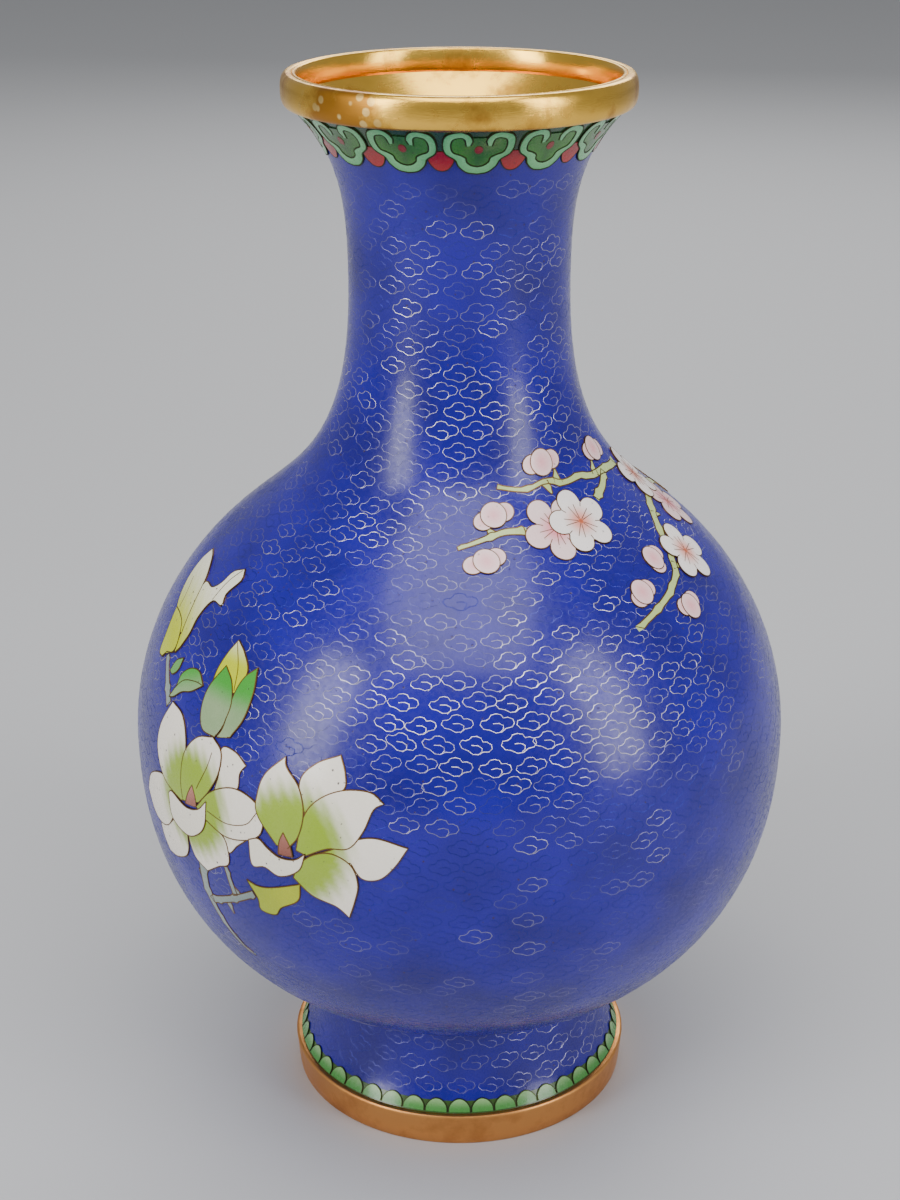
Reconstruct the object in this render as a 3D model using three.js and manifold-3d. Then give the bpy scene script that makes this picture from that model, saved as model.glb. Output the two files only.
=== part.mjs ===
// Cloisonne vase: a copper body in soldered sections, gilt rims, and glass enamel fired in cells.
// Millimetres, +Z up. The origin is on the vase's axis, in the plane it stands on. -Y is the front.
import * as THREE from 'three';
import { mergeVertices } from 'three/addons/utils/BufferGeometryUtils.js';
import { TessellateModifier } from 'three/addons/modifiers/TessellateModifier.js';
import Module from 'manifold-3d';

const wasm = await Module();
wasm.setup();

// ---------------------------------------------------------------- driving dimensions
const VASE_HEIGHT = 254;
const DRAWN_HEIGHT = 254; // the heights of the outline are drawn for a vase this tall
const STRETCH = VASE_HEIGHT / DRAWN_HEIGHT;
const MOUTH_RADIUS = 37.3; // outside of the body under the rim
const MOUTH_RIM_HEIGHT = 7.3;
const MOUTH_RIM_SET_IN = 1.4; // how far inside the body's outside the rim's inner wall stands
const MOUTH_RIM_BORE = MOUTH_RADIUS - MOUTH_RIM_SET_IN; // radius of the rim's inner wall
const MOUTH_RIM_WALL = 1.7; // from the bore to where the outer face starts to bulge
const MOUTH_RIM_BULGE = 1.8;
const MOUTH_RIM_ROUNDING = 0.77; // 1 is a half ellipse, less is squarer
const MOUTH_FLARE = 0.78; // lean of the wall under the rim, radians from upright
const NECK_RADIUS = 25.7;
const NECK_HEIGHT = 207.7 * STRETCH; // height of the narrowest place
const NECK_PULL_UP = 15.7 * STRETCH; // how far the neck keeps upright above its narrowest place
const NECK_PULL_DOWN = 40.2 * STRETCH; // and below it
const SHOULDER_TURN = 0.808; // part of the upper ellipse kept before the neck starts, radians
const SHOULDER_PULL = 19.4 * STRETCH;
const BELLY_RADIUS = 79.3;
const BELLY_HEIGHT = 97.4 * STRETCH; // height of the widest place
const BELLY_RISE = 72.4 * STRETCH; // half-height of the ellipse above the widest place
const BELLY_DROP = 74 * STRETCH; // and of the fuller curve below it
const BELLY_FULLNESS = 2.25; // 2 is an ellipse, more is squarer
const JOINT_RADIUS = 36.5; // where the belly meets the foot
const FOOT_WAIST_SWELL = 1 / 6; // part of the foot's spread that it has by its waist
const FOOT_WAIST_RISE = 0.3; // part of the foot's height that the waist is at, for the drawn spread
const FOOT_DRAWN_SPREAD = 5.4; // a foot that spreads more starts to do so higher, at the same slope
const FOOT_RADIUS = 41.9; // bottom of the enamelled foot
const FOOT_RIM_HEIGHT = 8.5;
const FOOT_RIM_LIP = 1; // how far the rim stands out from the enamelled foot
const FOOT_RIM_RADIUS = FOOT_RADIUS + FOOT_RIM_LIP;
const FOOT_RIM_TAPER = 0.8; // how much narrower the rim is where it stands
const FOOT_RIM_WALL = 4;
const FOOT_RIM_EDGE_RISE = 0.6; // the softened upper edge
const FOOT_RIM_EDGE_SET_IN = 0.5;
const BASE_RECESS = 6; // from the table up to the enamel under the base
const BASE_THICKNESS = 1;
const ENAMEL_THICKNESS = 1.1;
const COPPER_THICKNESS = 1.1;
const LINING_THICKNESS = 0.5; // counter-enamel
const SLEEVE_LENGTH = 22; // gilt sleeve inside the mouth, along the wall
const SLEEVE_THICKNESS = 0.5;
const NECK_SEAM_RISE = 92 * STRETCH; // copper seam above the widest place, along the wall
const RING_WIRE = 0.9; // height of the ring wires
const RING_WIRE_PROUD = 0.2;
const FIT_GAP = 0.1; // between coaxial pieces
const WIRE_GAP = 0.3; // between cells of enamel, where the thin wires stand
const SEAT_GAP = 0.4 / Math.min(STRETCH, 1); // under a cell: more where a lower vase curves tighter

const HEAD_COUNT = 13; // ruyi heads round the mouth
const BORDER_HEIGHT = 13; // ground of the border, along the wall
const HEAD_LINE = 7.3; // from the rim down to the notches of the heads, along the wall
const HEAD_PITCH = 15.4; // the pitch that the head outline is drawn at
const HEAD_SHIFT = 0.25; // part of a pitch that the first head stands round from the front
const SCALLOP_HEIGHT = 3.2; // green border above the foot rim, along the wall
const MAGNOLIA_TURN = -50; // degrees round from the front
const PLUM_TURN = 45;
const PLUM_RISE = 72 * STRETCH; // above the widest place, along the wall

const SIDES = 36; // facets round every turned piece
const CURVE_STEP = 5.4; // spacing of points along a cell's outline
const BRANCH_STEP = 8.6; // and along a branch
const FACET_SAG = 0.15; // how far a facet of a cell may lie from the round surface
const STEEP = 0.6; // rise of a wall, for each unit of its length, that counts as steep
const CUT_DEPTH = 1.8; // how many enamel thicknesses an opening is cut through

const LEAST_RADIUS = 2; // where no petal's circle reaches
const PETAL_POINTS = 3; // on each round petal of a plum blossom

// ---------------------------------------------------------------- outlines of the body
class FullerQuarter extends THREE.Curve {
  // A superellipse from the joint with the foot out to the widest place.
  getPoint(t) {
    const power = 2 / BELLY_FULLNESS;
    const start = Math.asin((JOINT_RADIUS / BELLY_RADIUS) ** (1 / power));
    const angle = start + (Math.PI / 2 - start) * t;
    const out = BELLY_RADIUS * Math.sin(angle) ** power;
    const drop = BELLY_DROP * Math.max(Math.cos(angle), 0) ** power;
    return new THREE.Vector2(out, BELLY_HEIGHT - drop);
  }
}

function joinedOutline(curves) {
  const path = new THREE.CurvePath();
  curves.forEach((curve) => path.add(curve));
  return path;
}

const bodyTop = VASE_HEIGHT - MOUTH_RIM_HEIGHT;
const underside = new FullerQuarter();
const jointHeight = underside.getPoint(0).y;
const shoulder = new THREE.EllipseCurve(0, BELLY_HEIGHT, BELLY_RADIUS, BELLY_RISE, 0, SHOULDER_TURN);
const shoulderEnd = shoulder.getPoint(1);
const shoulderAim = shoulder.getTangent(1);
const neckPoint = new THREE.Vector2(NECK_RADIUS, NECK_HEIGHT);
const mouthPoint = new THREE.Vector2(MOUTH_RADIUS, bodyTop);
const mouthAim = new THREE.Vector2(Math.sin(MOUTH_FLARE), Math.cos(MOUTH_FLARE));
const neckSweep = new THREE.CubicBezierCurve(
  shoulderEnd,
  shoulderEnd.clone().addScaledVector(shoulderAim, SHOULDER_PULL),
  new THREE.Vector2(NECK_RADIUS, NECK_HEIGHT - NECK_PULL_DOWN),
  neckPoint,
);
const mouthSweep = new THREE.CubicBezierCurve(
  neckPoint,
  new THREE.Vector2(NECK_RADIUS, NECK_HEIGHT + NECK_PULL_UP),
  mouthPoint.clone().addScaledVector(mouthAim, -NECK_PULL_UP),
  mouthPoint,
);
const bodyOutline = joinedOutline([underside, shoulder, neckSweep, mouthSweep]);
const footBottom = FOOT_RIM_HEIGHT + FIT_GAP;
const footTop = jointHeight - RING_WIRE;
const footSpread = FOOT_RADIUS - JOINT_RADIUS;
const footWaistShare = (FOOT_WAIST_RISE * footSpread) / FOOT_DRAWN_SPREAD;
const footWaist = footBottom + footWaistShare * (footTop - footBottom);
const footOutline = joinedOutline([
  new THREE.QuadraticBezierCurve(
    new THREE.Vector2(FOOT_RADIUS, footBottom),
    new THREE.Vector2(JOINT_RADIUS + FOOT_WAIST_SWELL * footSpread, footWaist),
    new THREE.Vector2(JOINT_RADIUS, footTop),
  ),
]);

const wallLength = bodyOutline.getLength();
const beltAt = underside.getLength(); // how far along the wall the widest place is
const neckSeamAt = beltAt + NECK_SEAM_RISE;
const borderAt = wallLength - BORDER_HEIGHT;
const sleeveAt = wallLength - SLEEVE_LENGTH;
const shoulderAt = beltAt + shoulder.getLength();
const neckAt = shoulderAt + neckSweep.getLength();

// A point of the wall: "along" runs up the outline, "depth" goes into the wall.
// A steep wall is cut off level at its ends, so that a rim can sit on it.
function wallPoint(outline, along, depth) {
  const share = THREE.MathUtils.clamp(along / outline.getLength(), 0, 1);
  const point = outline.getPointAt(share);
  const aim = outline.getTangentAt(share);
  const atEnd = share < 1e-9 || share > 1 - 1e-9;
  if (atEnd && aim.y > STEEP) return new THREE.Vector2(point.x - depth / aim.y, point.y);
  return new THREE.Vector2(point.x - depth * aim.y, point.y + depth * aim.x);
}

function evenly(from, to, count) {
  return Array.from({ length: count + 1 }, (_, i) => from + ((to - from) * i) / count);
}

// Every shell of the body takes its rings from these places, so that neighbours share their facets.
const seams = [0, beltAt, shoulderAt, neckSeamAt, neckAt, sleeveAt, borderAt, wallLength];
const ringCounts = [4, 4, 3, 3, 2, 1, 2];
const bodyRings = [0, ...ringCounts.flatMap((count, i) => evenly(seams[i], seams[i + 1], count).slice(1))];
const footRings = [0, SCALLOP_HEIGHT, ...evenly(SCALLOP_HEIGHT, footOutline.getLength(), 3).slice(1)];

// ---------------------------------------------------------------- solids
function asSolid(geometry) {
  const bare = geometry.clone();
  const extras = Object.keys(bare.attributes).filter((name) => name !== 'position');
  extras.forEach((name) => bare.deleteAttribute(name));
  const merged = mergeVertices(bare, 1e-4);
  const vertProperties = new Float32Array(merged.attributes.position.array);
  const triVerts = new Uint32Array(merged.index.array);
  return new wasm.Manifold(new wasm.Mesh({ numProp: 3, vertProperties, triVerts }));
}

// Cutting can leave crumbs between neighbouring cells: only the biggest body is the piece.
function mainBody(solid) {
  return solid.decompose().reduce((biggest, body) => (body.volume() > biggest.volume() ? body : biggest));
}

function asGeometry(solid) {
  const mesh = solid.getMesh();
  const geometry = new THREE.BufferGeometry();
  geometry.setAttribute('position', new THREE.BufferAttribute(new Float32Array(mesh.vertProperties), 3));
  geometry.setIndex(new THREE.BufferAttribute(new Uint32Array(mesh.triVerts), 1));
  return geometry;
}

// A turned piece: a closed profile of radius and height, spun about the vase's axis.
function turned(profile) {
  const closed = profile[0].x > 0 ? [...profile, profile[0].clone()] : profile;
  const clockwise = THREE.ShapeUtils.area(profile) < 0;
  const geometry = new THREE.LatheGeometry(clockwise ? closed.reverse() : closed, SIDES);
  return asSolid(geometry.rotateX(Math.PI / 2));
}

function shell(outline, rings, from, to, outerDepth, innerDepth) {
  const slack = 1e-6;
  const kept = rings.filter((along) => along > from - slack && along < to + slack);
  const outside = kept.map((along) => wallPoint(outline, along, outerDepth));
  const inside = kept.map((along) => wallPoint(outline, along, innerDepth)).reverse();
  return turned([...outside, ...inside]);
}

function washer(innerRadius, outerRadius, low, high) {
  const corners = [[innerRadius, low], [outerRadius, low], [outerRadius, high], [innerRadius, high]];
  return turned(corners.map(([out, up]) => new THREE.Vector2(out, up)));
}

// ---------------------------------------------------------------- flat designs laid on the wall
// A sheet is a flat drawing that touches the wall at one place and wraps round it like a paper cone.
function makeSheet(design, outline, along, turnDegrees) {
  const share = along / outline.getLength();
  const radius = outline.getPointAt(share).x;
  const narrowing = -outline.getTangentAt(share).x;
  const apex = radius / (Math.abs(narrowing) < 1e-4 ? 1e-4 : narrowing);
  return { design, outline, along, apex, turn: THREE.MathUtils.degToRad(turnDegrees) };
}

function layOn(sheet, x, y, height) {
  const reach = Math.sign(sheet.apex) * Math.hypot(x, sheet.apex - y);
  const arc = reach * Math.atan(x / (sheet.apex - y));
  const along = sheet.along + sheet.apex - reach;
  const surface = wallPoint(sheet.outline, along, 0);
  const spot = wallPoint(sheet.outline, along, -height);
  const turn = sheet.turn + arc / surface.x;
  return new THREE.Vector3(spot.x * Math.sin(turn), -spot.x * Math.cos(turn), spot.y);
}

function slab(sheet, outline, low, high) {
  const thick = { depth: high - low, bevelEnabled: false };
  const flat = new THREE.ExtrudeGeometry(new THREE.Shape(outline), thick);
  flat.deleteAttribute('uv');
  flat.deleteAttribute('normal');
  const radius = wallPoint(sheet.outline, sheet.along, 0).x;
  const fine = new TessellateModifier(Math.sqrt(8 * radius * FACET_SAG), 8).modify(flat);
  const spots = fine.attributes.position;
  for (let i = 0; i < spots.count; i += 1) {
    const laid = layOn(sheet, spots.getX(i), spots.getY(i), low + spots.getZ(i));
    spots.setXYZ(i, laid.x, laid.y, laid.z);
  }
  return asSolid(fine);
}

function facingOut(outline) {
  return THREE.ShapeUtils.area(outline) < 0 ? [...outline].reverse() : outline;
}

function grown(outline, gap) {
  const ring = facingOut(outline);
  return ring.map((point, i) => {
    const before = ring[(i + ring.length - 1) % ring.length];
    const after = ring[(i + 1) % ring.length];
    const come = point.clone().sub(before).normalize();
    const leave = after.clone().sub(point).normalize();
    const out = new THREE.Vector2(come.y + leave.y, -come.x - leave.x).normalize();
    const stretch = Math.max(out.dot(new THREE.Vector2(come.y, -come.x)), 0.5);
    return point.clone().addScaledVector(out, gap / stretch);
  });
}

// ---------------------------------------------------------------- outlines of the cells
const toPoints = (pairs) => pairs.map(([x, y]) => new THREE.Vector2(x, y));

function smooth(pairs) {
  const curve = new THREE.SplineCurve(toPoints(pairs));
  return curve.getSpacedPoints(Math.max(2, Math.round(curve.getLength() / CURVE_STEP)));
}

// A petal or leaf: one side runs from its foot to its tip and the other runs back.
function petal(oneSide, otherSide) {
  const there = smooth(oneSide);
  const back = smooth(otherSide);
  return [...there, ...back.slice(1, -1)];
}

// Round petals about a centre: the outline is the farthest point of their circles.
function lobed(x, y, turnDegrees, petals) {
  const toRad = THREE.MathUtils.degToRad;
  const spread = petals.map(([angle, ...sizes]) => [toRad(angle + turnDegrees), ...sizes]);
  const start = spread[0][0];
  const angles = evenly(start, start + 2 * Math.PI, PETAL_POINTS * petals.length).slice(0, -1);
  return angles.map((angle) => {
    const far = spread.map(([at, reach, round]) => {
      const aside = reach * Math.sin(angle - at);
      const ahead = reach * Math.cos(angle - at);
      return Math.abs(aside) < round ? ahead + Math.sqrt(round ** 2 - aside ** 2) : 0;
    });
    const radius = Math.max(...far, LEAST_RADIUS);
    return new THREE.Vector2(x + radius * Math.cos(angle), y + radius * Math.sin(angle));
  });
}

// A branch: its two edges lie to either side of a middle line and close in towards the end.
function branch(pairs, startWidth, endWidth) {
  const middle = new THREE.SplineCurve(toPoints(pairs));
  const steps = Math.max(2, Math.round(middle.getLength() / BRANCH_STEP));
  const edge = (side) => evenly(0, 1, steps).map((share) => {
    const aim = middle.getTangentAt(share);
    const half = (side * (startWidth + (endWidth - startWidth) * share)) / 2;
    return middle.getPointAt(share).add(new THREE.Vector2(-aim.y * half, aim.x * half));
  });
  return [...edge(1), ...edge(-1).reverse()];
}

function mirrored(half) {
  return toPoints([...half, ...half.slice(1, -1).reverse().map(([x, y]) => [-x, y])]);
}

// ---------------------------------------------------------------- assembly
const vase = new THREE.Group();
const openings = [];

function addPiece(name, solid, color, roughness, metalness) {
  const material = new THREE.MeshStandardMaterial({ color, roughness, metalness });
  const mesh = new THREE.Mesh(asGeometry(solid), material);
  mesh.name = name;
  vase.add(mesh);
}

const copper = (name, solid) => addPiece(name, solid, 0x9a5b3a, 0.45, 1);
const gilt = (name, solid) => addPiece(name, solid, 0xb98a45, 0.35, 1);
const glass = (name, solid, color) => addPiece(name, solid, color, 0.15, 0);

// A cell of the design. Cells laid earlier lie in front, and cut those laid later.
function cell(name, sheet, outline, color) {
  const ring = facingOut(outline);
  const earlier = openings.filter((opening) => opening.design === sheet.design);
  const whole = slab(sheet, ring, SEAT_GAP - ENAMEL_THICKNESS, 0);
  glass(name, mainBody(earlier.reduce((solid, opening) => solid.subtract(opening.cutter), whole)), color);
  const cutter = slab(sheet, grown(ring, WIRE_GAP), -CUT_DEPTH * ENAMEL_THICKNESS, ENAMEL_THICKNESS);
  openings.push({ design: sheet.design, cutter });
}

const WHITE = 0xf0eade;
const JADE = 0x8fc8a0;
const LEAF_GREEN = 0x4f9a55;
const DEEP_GREEN = 0x2f6a3e;
const TWIG = 0x8b9a8c;
const PALE_TWIG = 0xc3c994;
const YELLOW_GREEN = 0xc2c030;
const PINK = 0xf3cfce;
const BLUSH = 0xf6e8e2;
const COBALT = 0x1d2fae;

// ---- magnolia spray, drawn about its own spot on the widest place
const magnolia = makeSheet('magnolia', bodyOutline, beltAt, MAGNOLIA_TURN);

const leftBloom = [
  [-24.5, -4.5], [-19, -9.5], [-16.3, -10.3], [-13.8, -16.5], [-8, -15.6], [-2.5, -10.8],
  [4.5, -13.5], [9.2, -10.5], [13.2, -5.2], [19, -0.2], [24, 6], [21, 10], [15.6, 11.4],
  [17.2, 17.3], [13.5, 19.3], [9.6, 18.9], [5.8, 20.6], [0.5, 18.5], [-3.2, 14.5], [-7, 21],
  [-12.5, 22.2], [-16.6, 14.5], [-16, 5.5], [-20, 1.2],
];
const rightBloom = [
  [19.8, 0.6], [20.4, -5.4], [28, -6.2], [36, -9], [44.3, -13], [46.8, -7], [47.3, -2.6], [52, -2],
  [58, 6], [51, 7.6], [46.3, 6.2], [49.2, 12], [51.5, 15.5], [46, 17.8], [42, 17.5], [39.5, 24.8],
  [34.5, 22], [32, 16.5], [27, 22], [22.2, 16], [22, 7.5], [26, 2.6],
];
const upperBloom = [
  [-25.6, 28], [-28.2, 28.3], [-29, 36], [-33.2, 46], [-30, 54], [-26, 52.8], [-21.6, 48.4],
  [-15, 50], [-12, 55], [-8.6, 57], [-7.2, 54.5], [-9.2, 50.2], [-8.6, 47], [-13, 46.6],
  [-15.6, 39], [-19.1, 31.5],
];
const bud = [
  [6.5, 20.3], [1.8, 20.6], [-0.4, 27], [0.6, 36], [3, 42.6], [9.7, 36.8], [12, 38.6], [13.7, 30],
  [11, 22],
];

function magnoliaSpray() {
  const add = (name, outline, color) => cell(`magnolia_${name}`, magnolia, outline, color);
  add('left_bloom', toPoints(leftBloom), WHITE);
  add('right_bloom', toPoints(rightBloom), WHITE);
  add('upper_bloom', toPoints(upperBloom), WHITE);
  add('bud', toPoints(bud), LEAF_GREEN);
  add('calyx', petal([[18, -10.5], [24, -6.5], [33, -5]],
    [[33, -5], [33, -8], [27, -10.5], [22, -15.5], [18, -10.5]]),
    YELLOW_GREEN);
  add('folded_leaf', petal([[-15.2, 22.4], [-12.4, 28], [-9.1, 31.5], [-2.4, 29.7]],
    [[-2.4, 29.7], [-6.2, 27], [-15.2, 22.4]]), LEAF_GREEN);
  add('small_leaf', petal([[-18.4, 27.5], [-16.8, 30.5], [-13.8, 32.3]],
    [[-13.8, 32.3], [-14.6, 29], [-18.4, 27.5]]),
    LEAF_GREEN);
  add('upper_twig', branch([[-22.9, 29.6], [-18.5, 25], [-14.6, 20.6]], 1.6, 2.4), TWIG);
  add('main_branch', branch([[2.6, -12.5], [2.4, -20], [5, -28], [8.5, -34], [12, -36]], 2.8, 0.8), TWIG);
  add('right_twig', branch([[20, -13.8], [13, -17.6], [3, -22.4]], 1.6, 1.8), TWIG);
  add('short_twig', branch([[11.5, -9.5], [13.2, -17.4]], 1.2, 1.5), TWIG);
}

// ---- plum spray, drawn about a spot on the shoulder
const plum = makeSheet('plum', bodyOutline, beltAt + PLUM_RISE, PLUM_TURN);
const fivePetals = (reach, round) => [0, 72, 144, 216, 288].map((angle) => [angle, reach, round]);

const blossoms = [['front', -3.6, 4.3, 20, BLUSH], ['front_pink', -10.2, 5.1, 36, PINK],
  ['side', 29.5, 14.5, 40, BLUSH], ['side_pink', 35.8, 5.5, 10, PINK],
  ['back', 59, 20.5, 15, BLUSH], ['back_pink', 80, 12, 50, PINK]];
const buds = [[-5.9, 20.4, 0], [12.9, 20.4, -12], [-21.8, 14.4, 4], [-29.4, 5.8, 150],
  [9.4, -9.6, 50], [-0.4, -16.2, 20], [11.9, -23.1, 170], [70, 17.5, 20]];
const budPetals = [[90, 0.9, 3.1], [192, 2.6, 2.3], [348, 2.6, 2.3]];
const twigs = [
  ['upper_branch', [[-18, 19.7], [-12, 16.6], [2, 14.5], [8.1, 13.9], [22, 17]], 0.9, 2],
  ['arm', [[13, 13.4], [9.7, 11], [4.5, 8.4]], 1.8, 1.8],
  ['left_branch', [[-32.8, 11.9], [-28.8, 11], [-24.1, 10.2], [-17.2, 7.6]], 0.9, 1.8],
  ['right_branch', [[28.8, 8.7], [20.4, -1.1], [13.5, -14.8], [7.6, -18.6], [-7.1, -23.4]], 2.2, 1.3],
  ['back_branch', [[36, 13], [55.4, 14.8], [88.4, 0.8], [99, -18.6]], 1.8, 3],
];

function plumSpray() {
  blossoms.forEach(([name, x, y, turn, color]) => {
    cell(`plum_${name}_blossom`, plum, lobed(x, y, turn, fivePetals(5, 3.3)), color);
  });
  cell('plum_right_blossom', plum, lobed(22.6, -10.2, 12, fivePetals(4.6, 3.1)), BLUSH);
  buds.forEach(([x, y, lean], i) => cell(`plum_bud_${i + 1}`, plum, lobed(x, y, lean, budPetals), PINK));
  twigs.forEach(([name, middle, startWidth, endWidth]) => {
    cell(`plum_${name}`, plum, branch(middle, startWidth, endWidth), PALE_TWIG);
  });
}

// ---- border under the mouth rim: ruyi heads, with red lappets hanging between them
const headLineAt = wallLength - HEAD_LINE;
const headPitch = (2 * Math.PI * wallPoint(bodyOutline, headLineAt, 0).x) / HEAD_COUNT;
const headScale = headPitch / HEAD_PITCH;
const headHalf = [[0, 3.1], [3.4, 6.3], [7, 4.2], [6.7, -0.2], [4, -1.5], [2.6, -4.3], [0, -4.9]];

function ruyiBorder() {
  const outline = mirrored(headHalf.map(([x, y]) => [x * headScale, y * headScale]));
  for (let i = 0; i < HEAD_COUNT; i += 1) {
    const turn = ((i + HEAD_SHIFT) * 360) / HEAD_COUNT;
    cell(`ruyi_head_${i + 1}`, makeSheet('border', bodyOutline, headLineAt, turn), outline, JADE);
  }
}

// ---------------------------------------------------------------- laying the design
magnoliaSpray();
plumSpray();
ruyiBorder();

// ---------------------------------------------------------------- copper
const copperOut = ENAMEL_THICKNESS + FIT_GAP;
const copperIn = copperOut + COPPER_THICKNESS;
const liningOut = copperIn + FIT_GAP;
const liningIn = liningOut + LINING_THICKNESS;

// A copper section between two places of the wall, set back from the seam above it.
function bodySection(from, to) {
  const top = to < wallLength ? to - FIT_GAP : to;
  const rings = bodyRings.map((along) => (Math.abs(along - to) < 1e-6 ? top : along));
  return shell(bodyOutline, rings, from, to, copperOut, copperIn);
}

copper('copper_neck', bodySection(neckSeamAt, wallLength));
copper('copper_upper_belly', bodySection(beltAt, neckSeamAt));
copper('copper_lower_belly', bodySection(0, beltAt));
copper('copper_foot', shell(footOutline, footRings, 0, footOutline.getLength(), copperOut, copperIn));

const rimBore = FOOT_RIM_RADIUS - FOOT_RIM_WALL;
const baseLow = BASE_RECESS + LINING_THICKNESS + FIT_GAP;
const plateRadius = rimBore - FIT_GAP;
copper('copper_base_plate', washer(0, plateRadius, baseLow, baseLow + BASE_THICKNESS));

// ---------------------------------------------------------------- gilt fittings
function mouthRimSolid() {
  const middle = VASE_HEIGHT - MOUTH_RIM_HEIGHT / 2;
  const bulge = evenly(-Math.PI / 2, Math.PI / 2, 6).map((angle) => {
    const out = MOUTH_RIM_BULGE * Math.cos(angle) ** MOUTH_RIM_ROUNDING;
    const half = (MOUTH_RIM_HEIGHT - FIT_GAP) / 2;
    const up = Math.sign(angle) * half * Math.abs(Math.sin(angle)) ** MOUTH_RIM_ROUNDING;
    return new THREE.Vector2(MOUTH_RIM_BORE + MOUTH_RIM_WALL + out, middle + FIT_GAP / 2 + up);
  });
  const bore = [bulge[bulge.length - 1].y, bulge[0].y].map((up) => new THREE.Vector2(MOUTH_RIM_BORE, up));
  return turned([...bulge, ...bore]);
}

function footRimSolid() {
  const corners = [[rimBore, 0], [FOOT_RIM_RADIUS - FOOT_RIM_TAPER, 0],
    [FOOT_RIM_RADIUS, FOOT_RIM_HEIGHT - FOOT_RIM_EDGE_RISE],
    [FOOT_RIM_RADIUS - FOOT_RIM_EDGE_SET_IN, FOOT_RIM_HEIGHT], [rimBore, FOOT_RIM_HEIGHT]];
  return turned(toPoints(corners));
}

gilt('gilt_mouth_rim', mouthRimSolid());
const sleeveIn = liningOut + SLEEVE_THICKNESS;
gilt('gilt_mouth_sleeve', shell(bodyOutline, bodyRings, sleeveAt, wallLength, liningOut, sleeveIn));
gilt('gilt_foot_rim', footRimSolid());

// ---------------------------------------------------------------- ring wires
const wireIn = JOINT_RADIUS - ENAMEL_THICKNESS;
const wireOut = JOINT_RADIUS + RING_WIRE_PROUD;
gilt('foot_joint_wire', washer(wireIn, wireOut, footTop + FIT_GAP, jointHeight - FIT_GAP));

// ---------------------------------------------------------------- enamel
function cutsOf(designs) {
  const chosen = openings.filter((opening) => designs.includes(opening.design));
  return wasm.Manifold.union(chosen.map((opening) => opening.cutter));
}

const bodyGround = shell(bodyOutline, bodyRings, 0, borderAt, 0, ENAMEL_THICKNESS);
const borderGround = shell(bodyOutline, bodyRings, borderAt, wallLength, 0, ENAMEL_THICKNESS);
glass('enamel_body', mainBody(bodyGround.subtract(cutsOf(['magnolia', 'plum']))), COBALT);
glass('enamel_border', mainBody(borderGround.subtract(cutsOf(['border']))), DEEP_GREEN);
const footLength = footOutline.getLength();
const footGround = shell(footOutline, footRings, SCALLOP_HEIGHT, footLength, 0, ENAMEL_THICKNESS);
const footBorder = shell(footOutline, footRings, 0, SCALLOP_HEIGHT, 0, ENAMEL_THICKNESS);
glass('enamel_foot', footGround, COBALT);
glass('enamel_foot_border', footBorder, LEAF_GREEN);
glass('enamel_base', washer(0, plateRadius, BASE_RECESS, BASE_RECESS + LINING_THICKNESS), COBALT);

// The belly bulges, so a lining with every second ring there still clears the copper.
const bulging = beltAt + (neckSeamAt - beltAt) / 2;
const underSleeve = bodyRings.filter((along) => along < sleeveAt + 1e-6);
const liningRings = underSleeve.filter((along, i) => i % 2 === 0 || along > bulging);
glass('enamel_lining', shell(bodyOutline, liningRings, 0, sleeveAt - FIT_GAP, liningOut, liningIn), COBALT);

export default vase;
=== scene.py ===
# %% [markdown]
# # A cloisonne vase
# The real vase is a copper body with thin wires stood on edge all over it. Glass powder is packed
# between the wires, fired until it melts, and ground flush, so every colour ends at a wire. The rims
# are gilt. Here each kind of piece is worked out as a surface with numpy and put into a mesh.

# %% Load the frame
import bmesh
import bpy
import numpy as np
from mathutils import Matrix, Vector


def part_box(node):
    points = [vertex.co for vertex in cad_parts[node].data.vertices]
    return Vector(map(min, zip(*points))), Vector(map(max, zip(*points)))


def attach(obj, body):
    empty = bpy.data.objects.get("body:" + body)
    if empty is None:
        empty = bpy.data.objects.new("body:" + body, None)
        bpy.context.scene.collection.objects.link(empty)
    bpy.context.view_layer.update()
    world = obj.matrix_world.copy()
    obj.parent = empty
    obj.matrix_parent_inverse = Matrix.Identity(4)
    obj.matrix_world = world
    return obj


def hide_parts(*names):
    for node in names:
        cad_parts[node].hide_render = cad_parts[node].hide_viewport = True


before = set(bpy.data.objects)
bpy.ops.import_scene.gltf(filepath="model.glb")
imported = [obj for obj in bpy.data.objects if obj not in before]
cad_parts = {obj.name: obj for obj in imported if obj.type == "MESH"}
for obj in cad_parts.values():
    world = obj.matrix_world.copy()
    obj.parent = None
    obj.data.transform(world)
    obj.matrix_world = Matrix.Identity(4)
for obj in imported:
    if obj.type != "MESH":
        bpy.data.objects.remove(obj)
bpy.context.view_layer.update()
MM = 0.001


def put_in(name, data):
    """An object with this data, linked into the scene."""
    made = bpy.data.objects.new(name, data)
    bpy.context.collection.objects.link(made)
    return made


# %% [markdown]
# The camera looks slightly down on the shoulder, so that the mouth reads as an open ellipse.
# A long lens from close by keeps the foot visible under the belly.

# %% Camera
camera_data = bpy.data.cameras.new("camera")
camera = put_in("camera", camera_data)
camera.location = (0, -0.4618, 0.3191)
camera.rotation_euler = (np.radians(90 - 22.46), 0, 0)
camera_data.lens = 61.8
camera_data.shift_x = -0.0078
camera_data.clip_start = 0.01
bpy.context.scene.camera = camera
print("camera lens", camera_data.lens)

# %% [markdown]
# The wall is one outline spun about the axis. It has four stretches: a full quarter curve under the
# widest place, part of an ellipse over it, and two flowing curves that make the neck and the flare.
# Sampling them finely once, and asking for places by their distance along the wall, keeps every later
# piece on the same surface.

# %% Outline of the wall
def box_of(node):
    """Low and high corner of a node of the frame, in millimetres."""
    return (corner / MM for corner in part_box(node))


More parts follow.
